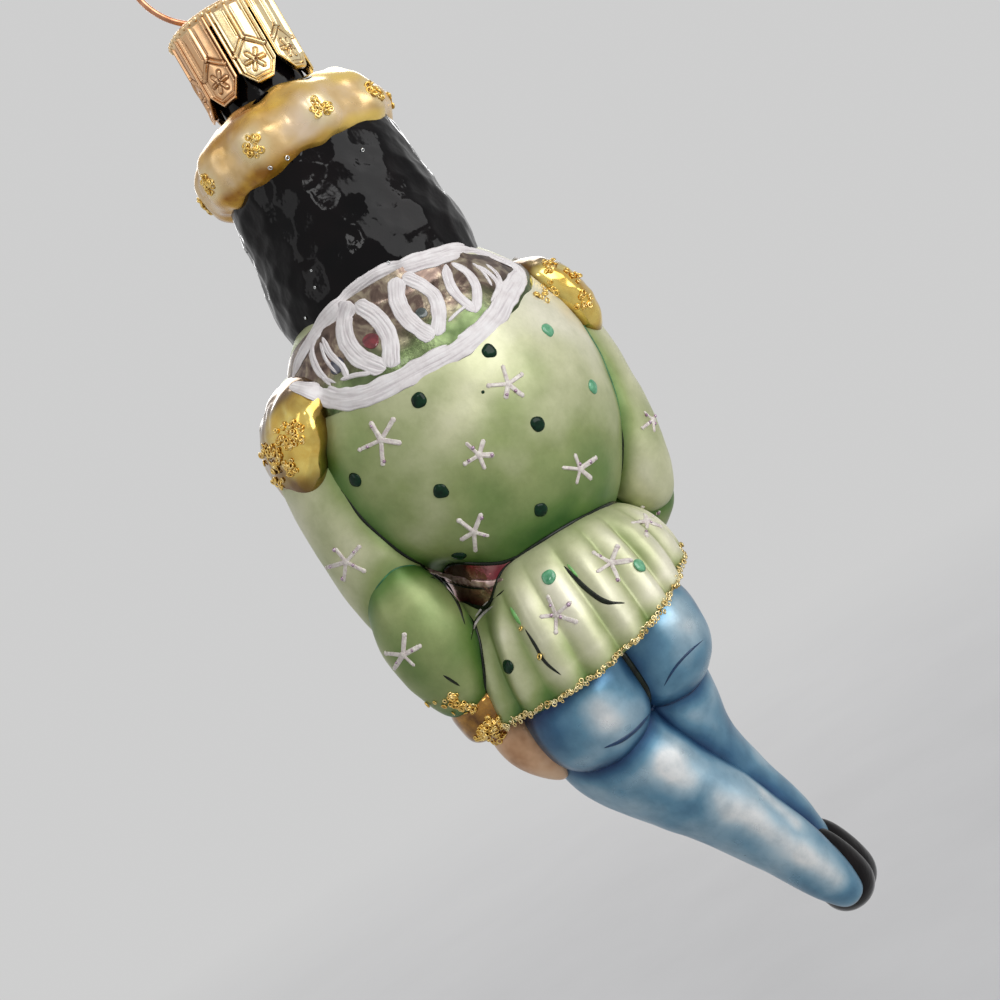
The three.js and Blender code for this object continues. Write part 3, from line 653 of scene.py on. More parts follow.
def silver():
    look = Look("silvered_glass", 0.26, 1.0, Coat_Weight=0.25, Coat_Roughness=0.08)
    # The brown-grey clouds with pale patches are painted reflections of the surroundings, and the green is a
    # painted reflection of the jacket below.
    grey = look.cloud(3.0, 3, (0.3, (0.05, 0.032, 0.026)), (0.5, (0.18, 0.125, 0.10)),
                      (0.78, (0.62, 0.54, 0.38)), twist=1.0)
    green = look.cloud(3.0, 2, (0.3, (0.045, 0.07, 0.022)), (0.7, (0.17, 0.22, 0.10)))
    look.colour(look.mix(look.value("green"), grey, green))
    return look.bump(1.6, 3, 0.35, 0.3).material


def toned_lacquer(name, rough, metal, coat, tone, stops, speck, share, gloss, bump):
    """A lacquer that runs from pale to deep along the mesh's tone, which holds painted shade and painted
    highlights besides soft clouds, with fine specks.
    """
    look = Look(name, rough, metal, Coat_Weight=coat[0], Coat_Roughness=coat[1])
    body = look.ramp(look.tone(*tone), *zip((0.0, 0.25, 0.5, 0.75, 1.0), stops))
    size, detail, low, high, grain = speck
    fine = look.cloud(size, detail, low, (high, (1.0, 1.0, 1.0)), rough=grain)
    look.colour(look.mix(share, body, fine, "MULTIPLY"))
    look.roughness(look.cloud(*gloss))
    return look.bump(*bump).material


LOOKS = {
    "cap": cap_gold(), "band": band_pearl(), "silver": silver(),
    "green": toned_lacquer("green_pearl", 0.44, 0.32, (0.08, 0.3), (11.0, 4, 0.45),
                           ((0.84, 0.81, 0.64), (0.60, 0.61, 0.38), (0.30, 0.36, 0.14), (0.12, 0.22, 0.045),
                            (0.035, 0.12, 0.015)),
                           (2.6, 4, (0.30, (0.55, 0.58, 0.46)), 0.6, 0.7), 0.3,
                           (6.0, 3, (0.3, 0.36), (0.75, 0.52)), (2.2, 4, 0.2, 0.25)),
    "blue": toned_lacquer("blue_satin", 0.34, 0.6, (0.15, 0.2), (12.0, 3, 0.75),
                          ((0.84, 0.86, 0.86), (0.42, 0.57, 0.66), (0.15, 0.32, 0.45), (0.05, 0.15, 0.27),
                           (0.015, 0.05, 0.14)),
                          (2.6, 4, (0.33, (0.30, 0.40, 0.46)), 0.58, 0.65), 0.28,
                          (5.0, 3, (0.3, 0.26), (0.75, 0.44)), (1.6, 4, 0.10, 0.15)),
    "copper": finish("copper_wire", 0.22, 1.0, (1.5, 3, (0.3, (0.45, 0.17, 0.08)), (0.7, (0.78, 0.40, 0.24))),
                     (0.3, 3, 0.1, 0.05)),
    "black": finish("black_lacquer", 0.05, 0.0,
                    (7.0, 2, (0.4, (0.0015, 0.0013, 0.0018)), (0.75, (0.005, 0.003, 0.0035))),
                    (2.0, 2, 0.22, 0.5), gloss_cloud=(3.0, 4, (0.35, 0.05), (0.8, 0.2)),
                    Specular_IOR_Level=0.15),
    "glitter": finish("gold_glitter", 0.22, 1.0,
                      (0.9, 2, (0.3, (0.55, 0.30, 0.05)), (0.5, (0.85, 0.58, 0.16)),
                       (0.75, (1.0, 0.82, 0.42)))),
    "chain": finish("pale_gold_glitter", 0.25, 1.0,
                    (0.9, 2, (0.3, (0.45, 0.32, 0.10)), (0.5, (0.78, 0.62, 0.30)),
                     (0.75, (1.0, 0.92, 0.62)))),
    "pad": finish("gold_lacquer", 0.16, 0.95,
                  (4.5, 3, (0.3, (0.72, 0.42, 0.06)), (0.6, (0.96, 0.74, 0.20)), (0.8, (1.0, 0.88, 0.45))),
                  (2.4, 2, 0.18, 0.4), ("dark", (0.16, 0.075, 0.008)), 0.6,
                  Coat_Weight=0.3, Coat_Roughness=0.08),
    "amber": finish("amber_lacquer", 0.08, 0.8,
                    (2.6, 3, (0.3, (0.09, 0.03, 0.006)), (0.6, (0.42, 0.20, 0.03)),
                     (0.85, (0.90, 0.62, 0.18))),
                    (2.0, 2, 0.2, 0.3), Coat_Weight=0.6, Coat_Roughness=0.04),
    "white": finish("white_paint", 0.5, 0.0,
                    (1.6, 4, (0.25, (0.74, 0.69, 0.69)), (0.5, (0.86, 0.82, 0.82)),
                     (0.8, (0.93, 0.91, 0.91))),
                    (0.35, 4, 0.25, 0.08), ("thin", (0.52, 0.46, 0.48)), Specular_IOR_Level=0.4),
    "recess": finish("red_silver", 0.12, 0.85,
                     (2.0, 3, (0.3, (0.20, 0.10, 0.09)), (0.6, (0.52, 0.32, 0.29)),
                      (0.85, (0.82, 0.66, 0.62))),
                     (1.2, 3, 0.4, 0.3), ("red", (0.19, 0.010, 0.022)), 1.2,
                     Coat_Weight=0.5, Coat_Roughness=0.05),
    "skin": skin_lacquer("skin_lacquer", (0.42, 0.19, 0.075), (0.70, 0.42, 0.24), (0.82, 0.58, 0.38)),
    "flesh": skin_lacquer("flesh_lacquer", (0.62, 0.36, 0.26), (0.80, 0.55, 0.42), (0.88, 0.66, 0.54)),
    "line": paint("dark_line", (0.003, 0.005, 0.003), (0.014, 0.022, 0.010), 0.25, gloss=0.25),
    "leaf_line": paint("green_line", (0.01, 0.09, 0.03), (0.05, 0.25, 0.10)),
    "blue_line": paint("blue_line", (0.003, 0.022, 0.07), (0.010, 0.055, 0.15), 0.35),
    "drop": paint("green_enamel", (0.0005, 0.010, 0.004), (0.003, 0.040, 0.015), 0.15, gloss=0.2),
    "pale_drop": paint("pale_green_enamel", (0.03, 0.24, 0.10), (0.22, 0.58, 0.34), 0.12, coat=0.5),
    "bright_leaf": paint("bright_green_line", (0.12, 0.42, 0.08), (0.30, 0.70, 0.22), 0.2, coat=0.4),
    "pink": paint("pink_silver_strip", (0.22, 0.09, 0.08), (0.85, 0.62, 0.58), 0.2, 0.5, 0.9, 0.4),
    "strand": paint("grey_strand", (0.20, 0.18, 0.17), (0.80, 0.76, 0.72), size=0.9),
    "snow": paint("white_glitter", (0.62, 0.52, 0.52), (0.93, 0.90, 0.80), 0.4, size=0.5),
    "lilac": paint("lilac_flake", (0.30, 0.16, 0.24), (0.62, 0.50, 0.62), 0.12, 0.6, 0.6),
    "ruby_reflection": paint("ruby_glint", (0.09, 0.006, 0.012), (0.30, 0.03, 0.04), 0.1, coat=0.6),
    "navy_reflection": paint("navy_glint", (0.01, 0.012, 0.03), (0.06, 0.06, 0.10), 0.15, coat=0.4),
    "shade": paint("grey_glint", (0.02, 0.03, 0.03), (0.12, 0.15, 0.14), 0.1, coat=0.6),
    "clear": paint("silver_bead", (0.55, 0.56, 0.55), (0.9, 0.92, 0.92), 0.1, 0.9, 0.5),
    "eye_white": paint("eye_white", (0.72, 0.72, 0.72), (0.85, 0.85, 0.85), 0.15, coat=0.6),
    "iris": paint("iris_blue", (0.03, 0.10, 0.20), (0.08, 0.22, 0.40), 0.1, coat=0.6),
    "lip": paint("lip_red", (0.35, 0.03, 0.03), (0.55, 0.07, 0.06), 0.25, coat=0.4),
}

# Paint that lies on the glass

PAINT = {}
PX_PER_MM = 6.9
# A traced line that jumps further than this has gone on to another form, and starts a new run
JUMP = 1.7
RING_WIRE = 0.38


def pile_for(name):
    return PAINT.setdefault(name, Pile())


def traced(pixels, spacing):
    """Runs of points and normals on the figure under a smooth line through pixels of the photograph."""
    p = np.asarray(pixels, dtype=float)
    length = np.linalg.norm(np.diff(p, axis=0), axis=1).sum() / PX_PER_MM
    shares = np.linspace(0, 1, max(4, int(length / spacing)))
    line = spline(p, shares) if len(p) > 2 else p[0] + np.outer(shares, p[1] - p[0])
    runs = [[]]
    for x, y in line:
        hit = on_figure(x, y)
        if hit is None or (runs[-1] and np.linalg.norm(hit[0] - runs[-1][-1][0]) > JUMP):
            runs.append([])
        if hit is not None:
            runs[-1].append(hit)
    return [(np.array([h[0] for h in run]), np.array([h[1] for h in run])) for run in runs if len(run) > 2]


def stroke(pile, points, normals, width, height, taper, bristles=0, seed=0.0):
    """A raised ribbon of paint along points of the surface."""
    points, normals = eased(points, 5), unit(eased(normals, 10))
    side = np.cross(unit(np.gradient(points, axis=0)), normals)
    n = len(points)
    s = np.linspace(0, 1, n)
    fade = np.maximum(np.clip(np.minimum(s, 1 - s) / taper, 0, 1) ** 0.5, 0.05)
    across = np.linspace(-1, 1, 5 + 2 * bristles)
    travel = 0.36 * np.arange(n)
    rows, thin = [], []
    for i in range(n):
        ring, bare = [], []
        for u in across:
            rise = height * math.sqrt(max(0, 1 - u * u)) * fade[i]
            gap = 0.0
            if bristles:
                gap = noise.noise(Vector((u * bristles * 0.75, travel[i] * 0.2 + seed, seed)))
                rise *= 0.75 - 0.5 * gap
            ragged = 0.16 * noise.noise(Vector((travel[i] * 0.5, seed, round(u)))) if bristles else 0.0
            w = width / 2 * fade[i] * (1 + ragged)
            ring.append(points[i] + side[i] * u * w + normals[i] * max(rise, 0.02))
            bare.append(min(1.0, max(0.0, 1.3 * gap - 0.05)))
        low = [points[i] + side[i] * width / 2 * fade[i] * k - normals[i] * 0.12 for k in (0.7, -0.7)]
        rows.append(ring + low)
        thin.append(bare + [0.0, 0.0])
    pile.grid(np.array(rows)[:, ::-1], thin=np.array(thin)[:, ::-1])


def draw(look, pixels, width, height, spacing, **more):
    for points, normals in traced(pixels, spacing):
        stroke(pile_for(look), points, normals, width, height, **more)


def drop(look, px, py, radius, height):
    hit = on_figure(px, py)
    if hit:
        dome(pile_for(look), *hit, radius, height)


def dome(pile, foot, out, radius, height, stretch=1.0):
    """A flat drop of enamel with an uneven rim."""
    across = unit(np.cross(out, UPRIGHT))
    up = np.cross(across, out)
    rows = []
    profile = ((0.02, 1.0), (0.35, 0.97), (0.6, 0.85), (0.8, 0.62), (0.93, 0.3), (1.0, 0.0), (0.9, -0.8))
    for share, rise in profile:
        ring = []
        for a in turns(24):
            c, s = math.cos(a), math.sin(a)
            r = radius * share * (1 + 0.2 * noise.noise(Vector((0.9 * c, 0.9 * s, foot[0] * 3))))
            ring.append(foot + across * r * c * stretch + up * r * s + out * height * rise)
        rows.append(ring)
    pile.grid(np.array(rows)[:, ::-1])


def ring_bead(pile, spot, out, radius, seed):
    """A tiny glitter ring that lies on the surface, a little askew."""
    rng = random.Random(seed)
    axis = unit(out + np.array([rng.uniform(-0.5, 0.5) for _ in range(3)]))
    u = unit(np.cross(axis, [0.3, 0.5, 0.81]))
    v = np.cross(axis, u)
    wire = radius * RING_WIRE
    sides, steps = 6, 12
    points, faces = [], []
    for i, a in enumerate(turns(steps)):
        away = u * math.cos(a) + v * math.sin(a)
        this, after = i * sides, (i + 1) % steps * sides
        for k in range(sides):
            b, n = TAU * k / sides, (k + 1) % sides
            points.append(spot + away * radius + away * math.cos(b) * wire + axis * math.sin(b) * wire)
            faces.append((this + k, this + n, after + n, after + k))
    pile.add(points, faces)


def ring_patch(look, px, py, radius_px, count, seed, radius):
    """A cluster of glitter rings round a pixel of the photograph."""
    rng = random.Random(seed)
    for _ in range(count):
        a, r = rng.uniform(0, TAU), radius_px * math.sqrt(rng.random())
        hit = on_figure(px + r * math.cos(a), py + r * math.sin(a))
        if hit:
            size = radius * rng.uniform(0.65, 1.15)
            ring_bead(pile_for(look), hit[0] + hit[1] * size * 0.6, hit[1], size, rng.random())


def snowflake(px, py, size_px, turn, seed):
    """A snowflake of short strokes of white glitter with a few lilac flakes in it."""
    rng = random.Random(seed)
    drop("snow", px, py, 0.55, 0.25)
    arms = 5
    for i in range(arms):
        a = math.radians(turn) + TAU * i / arms + rng.uniform(-0.16, 0.16)
        r = size_px / 2 * rng.uniform(0.85, 1.2)
        x, y = px + r * math.cos(a), py + r * math.sin(a)
        draw("snow", [(px, py), (x, y)], rng.uniform(0.5, 0.8), 0.22, 0.2,
             taper=0.08, bristles=2, seed=seed + i)
        if rng.random() < 0.5:
            drop("snow", x, y, rng.uniform(0.3, 0.42), 0.25)
        if rng.random() < 0.6:
            k = rng.uniform(0.3, 0.95)
            aside = rng.uniform(-2, 2)
            drop("lilac", px + (x - px) * k + aside, py + (y - py) * k, rng.uniform(0.22, 0.34), 0.32)


def bead_line(look, points, radius, seed):
    """A line of dark paint that fills a crease."""
    n = len(points)
    line = spline(points, np.linspace(0, 1, 3 * n))
    share = np.linspace(0, 1, 3 * n)
    thick = radius * np.clip(np.minimum(share, 1 - share) / 0.25, 0.15, 1)
    thick = thick * np.array([1 + 0.3 * noise.noise(Vector((k * n * 0.12, seed, 0.5))) for k in share])
    grid = tube(line, 1.0, 3 * n, 8)
    middle = grid.mean(axis=1, keepdims=True)
    pile_for(look).grid(middle + (grid - middle) * thick[:, None, None])


# Hanger and cap

WIRE_R = 0.45
LOOP_R = 9.1
LEG_X = 3.0
LEG_HOLE_R = 0.85
CAP_R = 8.0
CAP_WALL = 0.42
CAP_BEADS = 44
PETALS = 8
PETAL_TURN = math.radians(14)
FLOWER_DEPTH = 9.8


def tube(points, radius, steps, sides=14):
    """A round bar along a smooth curve through points, as a grid."""
    line = spline(points, np.linspace(0, 1, steps))
    way = unit(np.gradient(line, axis=0))
    turn = turns(sides)
    rows = []
    u = np.cross(way[0], [0.0, 1.0, 0.0])
    for p, w in zip(line, way):
        u = unit(u - w * np.dot(u, w))
        v = np.cross(w, u)
        rows.append(p + radius * (np.cos(turn)[:, None] * u + np.sin(turn)[:, None] * v))
    return np.array(rows)[:, ::-1]


def wire_points():
    start = math.asin((LEG_X + 0.8) / LOOP_R)
    angles = start + (TAU - 2 * start) * np.arange(41) / 40
    loop = [np.array([-LOOP_R * math.sin(a), 0, WIRE_R - LOOP_R - LOOP_R * math.cos(a)]) for a in angles]
    legs = [at(-4.85, 0, 19), at(-LEG_X, 0, 7), at(-LEG_X, 0, 0)]
    return legs + loop + [p * np.array([-1, 1, 1]) for p in reversed(legs)]


def near_line(x, y, a, b):
    """The distance of each place x, y from the line between two ends."""
    (ax, ay), (bx, by) = a, b
    share = np.clip(((x - ax) * (bx - ax) + (y - ay) * (by - ay)) / ((bx - ax) ** 2 + (by - ay) ** 2), 0, 1)
    return np.hypot(x - ax - share * (bx - ax), y - ay - share * (by - ay))


def stamped(d, width, height):
    """A pressed ridge at distance d, with a groove on each side of it, and how dark the groove is."""
    groove = np.exp(-(((np.abs(d) - 2.0 * width) / (0.6 * width)) ** 2))
    return height * np.exp(-((d / width) ** 2)) - 0.45 * height * groove, groove


def petal_grid(turn, bend):
    """One stamped petal: a border, a rib between two long panels, a frame and a flower of six strokes."""
    half = math.pi / PETALS - math.radians(1.25)
    u, v = np.meshgrid(np.linspace(-1, 1, 61), np.linspace(0, 1, 150))
    foot = 10.6 + 2.6 * np.minimum(1, (1 - np.abs(u)) / 0.6)
    x, y = u * half * CAP_R, 0.6 + (foot - 0.6) * v
    edge = np.minimum((1 - np.abs(u)) * half * CAP_R, (foot - y) * 0.85)
    lines = [(edge - 0.24, 0.22, 0.36), (edge - 0.82, 0.11, 0.2)]
    ribs = [((0, 6.2), (-2.3, 8.2)), ((0, 6.2), (2.3, 8.2)), ((0, 0.6), (0, 6.2))]
    lines += [(near_line(x, y, a, b), 0.19, 0.32) for a, b in ribs]
    lines += [(near_line(x, y, (s * 0.55, 1.6), (s * 0.55, 5.6)), 0.07, 0.10) for s in (-1, 1)]
    for k in range(6):
        a = math.radians(30 + 60 * k)
        ends = [(r * math.sin(a), FLOWER_DEPTH - r * math.cos(a)) for r in (0.25, 1.4)]
        lines.append((near_line(x, y, *ends), 0.17, 0.26))
    relief, sunk = np.zeros_like(x), np.zeros_like(x)
    for d, width, height in lines:
        h, groove = stamped(d, width, height)
        relief = np.where(np.abs(h) > np.abs(relief), h, relief)
        sunk = np.maximum(sunk * (np.abs(d) > width), groove)
    angle = turn + u * half
    flare = bend * np.maximum(0, (y - 8) / 5.2) ** 2
    outer, inner = [np.stack([r * np.cos(angle), r * np.sin(angle), CAP_TOP_Z - y], axis=2)
                    for r in (CAP_R + relief + flare, CAP_R - CAP_WALL + flare)]
    both = np.concatenate([outer, inner[:, ::-1]], axis=1)
    return both, np.concatenate([sunk, np.full_like(sunk, 0.6)], axis=1)


def lathe(profile):
    """Rings of a turned form from pairs of radius and depth, as a grid."""
    return np.array([[round_at(r, a, d) for a in turns(96)] for r, d in profile])


def disc_with_hole(pile, sign, radius):
    """Half of the cap's top, with the hole for one leg of the wire."""
    n = 72
    inner, outer = [], []
    for a in turns(n):
        c, s = math.cos(a), math.sin(a)
        far = -LEG_X * c + math.sqrt((LEG_X * c) ** 2 + radius ** 2 - LEG_X ** 2)
        if c < 0:
            far = min(far, LEG_X / -c)
        outer.append(at(sign * (LEG_X + far * c), sign * far * s, 0))
        inner.append(at(sign * (LEG_X + LEG_HOLE_R * c), sign * LEG_HOLE_R * s, 0))
    pile.grid(np.array([inner, outer]), capped=False, sunk=[1.0] * n + [0.0] * n)


def build_cap():
    wire = Pile()
    wire.grid(tube(wire_points(), WIRE_R, 260))
    wire.make("wire_loop", "copper", ["hanger_wire"], "wire", "hanger")
    top = Pile()
    rim = [(-0.55, 0), (0, 0.12), (0.4, 0.42), (0.42, 0.75), (0.1, 1.15), (0, 1.3), (0, 2.6),
           (-CAP_WALL, 2.6), (-CAP_WALL, 0.5), (0.9 - CAP_R, 0.5)]
    top.grid(lathe([(CAP_R + r, d) for r, d in rim]), capped=False, sunk=0.25, copper=0.4)
    for sign in (-1, 1):
        disc_with_hole(top, sign, CAP_R - 0.55)
    rng = random.Random(4)
    for a in turns(CAP_BEADS):
        size = 0.42 * rng.uniform(0.85, 1.1)
        top.grid(round_at(CAP_R + 0.22, a, 0.62) + ball(8, 10) * size, sunk=0.0, copper=0.3)
    for i in range(PETALS):
        turn = TAU * (i + 0.5) / PETALS + PETAL_TURN
        grid, sunk = petal_grid(turn, 0.08 * rng.random())
        # Painted shade: the petals turn copper towards +x, the side away from the key lamp.
        top.grid(grid, sunk=sunk, copper=float(np.clip(1.1 * math.cos(turn) - 0.15, 0, 0.8)))
    top.make("cap_stamped", "cap", ["crown_cap"], "cap", "cap")


# Hat


def build_floret(i):
    """One cluster of glitter rings, glued on round the hat band."""
    rng = random.Random(50 + i)
    a = band_angle(i)
    across = np.array([-math.sin(a), math.cos(a), 0.0])
    middle = round_at(17.0, a, FLORET_DEPTH)
    cluster = Pile()
    for _ in range(FLORET_RINGS):
        turn, r = rng.uniform(0, TAU), FLORET_RADIUS * math.sqrt(rng.random())
        spot, normal = near(middle + across * r * math.cos(turn) + UPRIGHT * r * math.sin(turn))
        ring_bead(cluster, spot + normal * 0.12, normal, rng.uniform(0.26, 0.46), rng.random())
    cluster.make(f"floret_{i + 1}", "glitter", [f"hat_floret_{i + 1}"], "gold_glitter")


def build_hat():
    neck = Pile()
    neck.grid(crown)
    neck.grid(lathe([(5.7, 12.0), (5.7, 0.85), (6.6, 0.85), (6.6, 16.0)]), capped=False)
    neck.make("hat_top", "black", ["hat_crown"], "black_glass")
    depth = depth_of(band)
    drift = 0.9 * waves(band, 6.0, 21.0)
    upper = np.clip((19.9 + drift - depth) / 1.8, 0, 1)
    lower = np.clip((depth - 24.1 + drift) / 1.0, 0, 1)
    halo = np.zeros_like(depth)
    for i in range(FLORETS):
        far = np.linalg.norm(band - round_at(15, band_angle(i), FLORET_DEPTH), axis=2)
        halo = np.maximum(halo, np.exp(-((far / 2.3) ** 4)))
    # Painted light: glow pales the band's amber edges towards -x, the side facing the key lamp.
    add_form("hat_roll", "band", band, ["hat_band"], "cream_glass",
             amber=np.maximum(upper * 0.9, lower), halo=halo, glow=np.clip(0.5 - 0.08 * band[..., 0], 0, 1))
    for i in range(FLORETS):
        build_floret(i)
    add_form("hat_shell", "black", hat, ["hat_body"], "black_glass")
    for px, py, seed, radius in HAT_BEADS:
        ring_patch("clear", px, py, 1, 1, seed, radius)


# Head and collar


def in_front(x, depth, tree=None):
    """The place and normal of the figure's front at a place across and a depth."""
    start = at(x, -80, depth)
    hit, normal, _, _ = (tree or FIGURE).ray_cast(Vector(start), Vector((0, 1, 0)))
    if normal.y > 0:
        normal = -normal
    return np.array(hit), np.array(normal)


def front_line(look, places, width, height, **more):
    """A stroke of paint on the front, through places of x and depth."""
    line = spline(np.array(places, dtype=float), np.linspace(0, 1, 40))
    hits = [in_front(x, d) for x, d in line]
    points, normals = [np.array(part) for part in zip(*hits)]
    stroke(pile_for(look), points, normals, width, height, **more)


def front_dome(look, x, depth, radius, height, stretch=1.0):
    dome(pile_for(look), *in_front(x, depth), radius, height, stretch)


def hair(stations, blunt, locks, seed, columns, rows, deep):
    """A lobe with wavy locks that run down it."""
    def relief(grid, turn, t):
        wander = 1.1 * np.sin(5 * t + seed)[:, None] + 0.25 * waves(grid, 4.0, seed)
        locked = np.abs(np.sin(locks * turn[None, :] / 2 + wander)) - 0.7
        return deep * locked * np.sin(np.pi * t)[:, None] ** 0.5
    return lobe(stations, blunt, columns, rows, relief)


def build_head():
    add_form("face_glass", "flesh", face, ["face"], "flesh_glass")
    add_form("nose_glass", "flesh", nose, ["nose"], "flesh_glass")
    tache = Pile()
    for sign in (-1, 1):
        tache.grid(hair([(-sign * 1.6, -18.2, 49.0, 1.9, 1.7), (sign * 5.0, -17.6, 49.8, 2.2, 2.0),
                         (sign * 10.4, -13.6, 47.4, 1.6, 1.5)], 2.0, 9, 2.0, 48, 40, 0.2))
    tache.make("moustache_glass", "white", ["moustache"], "white_glass")
    beard = hair([(0, -12.2, 48.6, 8.6, 4.6), (0, -14.6, 56, 8.6, 5.2), (0, -17.2, 63.5, 5.6, 4.2),
                  (0, -18.4, 69.5, 2.6, 2.6)], 2.4, 22, 1.0, 96, 70, 0.45)
    add_form("beard_glass", "white", beard, ["beard"], "white_glass")
    for sign in (-1, 1):
        front_dome("eye_white", sign * 5.0, 41.2, 1.9, 0.5, 1.1)
        spot, normal = in_front(sign * 4.8, 41.3)
        dome(pile_for("iris"), spot + normal * 0.35, normal, 1.05, 0.35)
        dome(pile_for("line"), spot + normal * 0.62, normal, 0.5, 0.2)
        front_line("line", [(sign * 2.6, 39.0), (sign * 5.0, 37.6), (sign * 7.8, 39.2)], 0.9, 0.3, taper=0.4)
        front_line("line", [(sign * 3.1, 40.6), (sign * 5.0, 39.5), (sign * 7.1, 41.0)], 0.35, 0.2, taper=0.4)
        front_dome("lip", sign * 8.2, 45.0, 1.6, 0.12)
    front_line("lip", [(-2.6, 52.0), (0, 52.6), (2.6, 52.0)], 1.1, 0.3, taper=0.3)


def build_collar():
    depth = depth_of(collar)
    angle = np.arctan2(collar[..., 1], collar[..., 0])
    # Painted reflection: green near the collar's lower edge at the back, where the jacket shows in the
    # silvered glass.
    green = np.clip((depth - 53.5 + 1.5 * waves(collar, 4.0, 31.0)) / 3.0, 0, 1) * (np.sin(angle) > 0)
    add_form("collar_glass", "silver", collar, ["collar"], "white_glass", capped=False, green=green)
    neck = tree_of(["collar", "torso"])
    way = np.radians(np.linspace(-4, -196, 150))
    front = [near(round_at(22, a, 51.6), neck) for a in way]
    points, normals = [np.array(part) for part in zip(*front)]
    stroke(pile_for("white"), points, normals, 2.9, 0.35, taper=0.02, bristles=8, seed=5.0)


# Jacket, arms and legs


def crease_shade_tone(grid, touching, reach, base, gain, seed=40.0, size=12.0):
    """The tone of the lacquer: painted shade in the creases against other forms, and soft clouds."""
    deep = base + gain * closeness(grid, touching, reach) ** 1.5
    return np.clip(deep + 0.22 * waves(grid, size, seed), 0, 1)


def build_jacket():
    fall = np.clip((depth_of(torso) - 62) / 26, 0, 1)
    touching = ["waist", "skirt", "left_upper", "right_upper", "left_forearm", "right_forearm"]
    # Painted shade in the creases against the waist, skirt and sleeves; darker towards the bottom; and
    # painted shade on the +x side of the upper torso, away from the key lamp.
    tone = crease_shade_tone(torso, touching, 3.5, 0.16, 0.35)
    tone = tone + 0.5 * fall + 0.012 * torso[..., 0] * (1 - fall)
    add_form("jacket_glass", "green", torso, ["jacket_back", "jacket_front"], "green_glass",
             tone=np.clip(tone, 0, 1))


def build_arm(sign, side):
    """A sleeve of two forms, with its shoulder pad, cuff and hand."""
    arm = Pile()
    # Painted shade in the creases where each sleeve part meets the torso, skirt, cuff or its other part, and
    # soft clouds.
    for part, touching, base, gain, seed in (
            ("upper", (f"{side}_forearm", "torso"), 0.22, 0.4, 44.0),
            ("forearm", (f"{side}_upper", "skirt", f"{side}_cuff"), 0.46, 0.45, 46.0)):
        grid = FORMS[f"{side}_{part}"]
        arm.grid(grid, tone=crease_shade_tone(grid, touching, 3.0, base, gain, seed))
    arm.make(f"{side}_sleeve_glass", "green", [f"sleeve_{side}"], "green_glass")
    pad = FORMS[f"{side}_pad"]
    # Painted shade where the pad meets the torso and the upper arm, darker on the pad's upward faces, and
    # soft clouds.
    dark = closeness(pad, ["torso", f"{side}_upper"], 2.0 + sign) * 0.9 + 0.4 * waves(pad, 4.0, 61.0)
    dark = np.clip(dark + 1.6 * np.clip(normals_of(pad)[..., 2] - 0.35, 0, 1), 0, 1)
    add_form(f"{side}_shoulder_pad", "pad", pad, [f"epaulette_{side}"], "gold_glass", dark=dark)
    add_form(f"{side}_cuff_glass", "amber", FORMS[f"{side}_cuff"], [f"cuff_{side}"], "gold_glass")
    add_form(f"{side}_hand_glass", "skin", FORMS[f"{side}_hand"], [f"hand_{side}"], "flesh_glass")


def build_waist():
    """The recess at the waist, the skirt and the three buttons."""
    hot = np.clip(0.6 + 0.9 * waves(waist, 5.0, 71.0), 0, 1)
    add_form("sash_glass", "recess", waist, ["waist_sash"], "red_glass", red=hot)
    share = np.linspace(0, 1, skirt.shape[0])[:, None]
    # Painted highlights on the pleats' ridges and painted shade in their folds, soft clouds, darker towards
    # the hem, and painted shade towards +x, the side away from the key lamp.
    tone = 0.36 - 0.34 * skirt_ridge + 0.22 * waves(skirt, 9.0, 81.0)
    tone = tone + 0.3 * np.clip((share - 0.8) / 0.12, 0, 1)
    tone = tone + 0.013 * np.clip(skirt[..., 0] + 2, 0, 30) * (0.4 + share)
    add_form("skirt_glass", "green", skirt, ["skirt_back", "skirt_front"], "green_glass", capped=False,
             tone=np.clip(tone, 0, 1))
    coat = tree_of(["torso"])
    for i, d in enumerate(BUTTON_DEPTHS):
        pile = Pile()
        dome(pile, *in_front(0, d, coat), 1.7, 1.1)
        pile.make(f"button_{i + 1}_gold", "amber", [f"button_{i + 1}"], "gold_glass")


def sheen_spots():
    """Places of painted highlights on the trousers, with how far each reaches."""
    spots = []
    for x0, y0, x1, y1, reach in SHEEN:
        hits = [on_figure(x0 + (x1 - x0) * t, y0 + (y1 - y0) * t) for t in np.linspace(0, 1, 15)]
        spots += [(hit[0], reach) for hit in hits if hit]
    return spots


def build_legs():
    highlight_spots = sheen_spots()
    for side, other in (("left", "right"), ("right", "left")):
        pile = Pile()
        for name, touching in ((f"{side}_leg", (f"{side}_buttock", f"{other}_leg")),
                               (f"{side}_buttock", (f"{side}_leg", "skirt", f"{other}_buttock"))):
            grid = FORMS[name]
            # Painted shade in the creases, a painted shadow under the skirt, and painted highlights along the
            # sheen lines.
            tone = crease_shade_tone(grid, touching, 3.0, 0.44, 0.5, 90.0, 9.0) + 0.25 * closeness(grid, ["skirt"], 9.0)
            sheen = np.zeros(tone.shape)
            for spot, reach in highlight_spots:
                sheen = np.maximum(sheen, np.exp(-(np.linalg.norm(grid - spot, axis=2) / reach) ** 2))
            pile.grid(grid, tone=np.clip(tone - 0.42 * sheen, 0, 1))
        pile.make(f"{side}_trouser_glass", "blue", [f"trousers_{side}"], "blue_glass")
        add_form(f"{side}_boot_glass", "black", FORMS[f"{side}_boot"], [f"boot_{side}"], "black_glass")


# Hem trim

CHAIN_STEP = 0.3


def hem_line(start, end):
    """Points and normals just below the hem, between two angles in degrees."""
    angles = np.radians(np.linspace(start, end, 260))
    points = np.array([skirt_point(a, 1.0, 0.15, 0.6) for a in angles])
    normals = np.stack([np.cos(angles), np.sin(angles), 0 * angles], axis=1)
    return points, normals


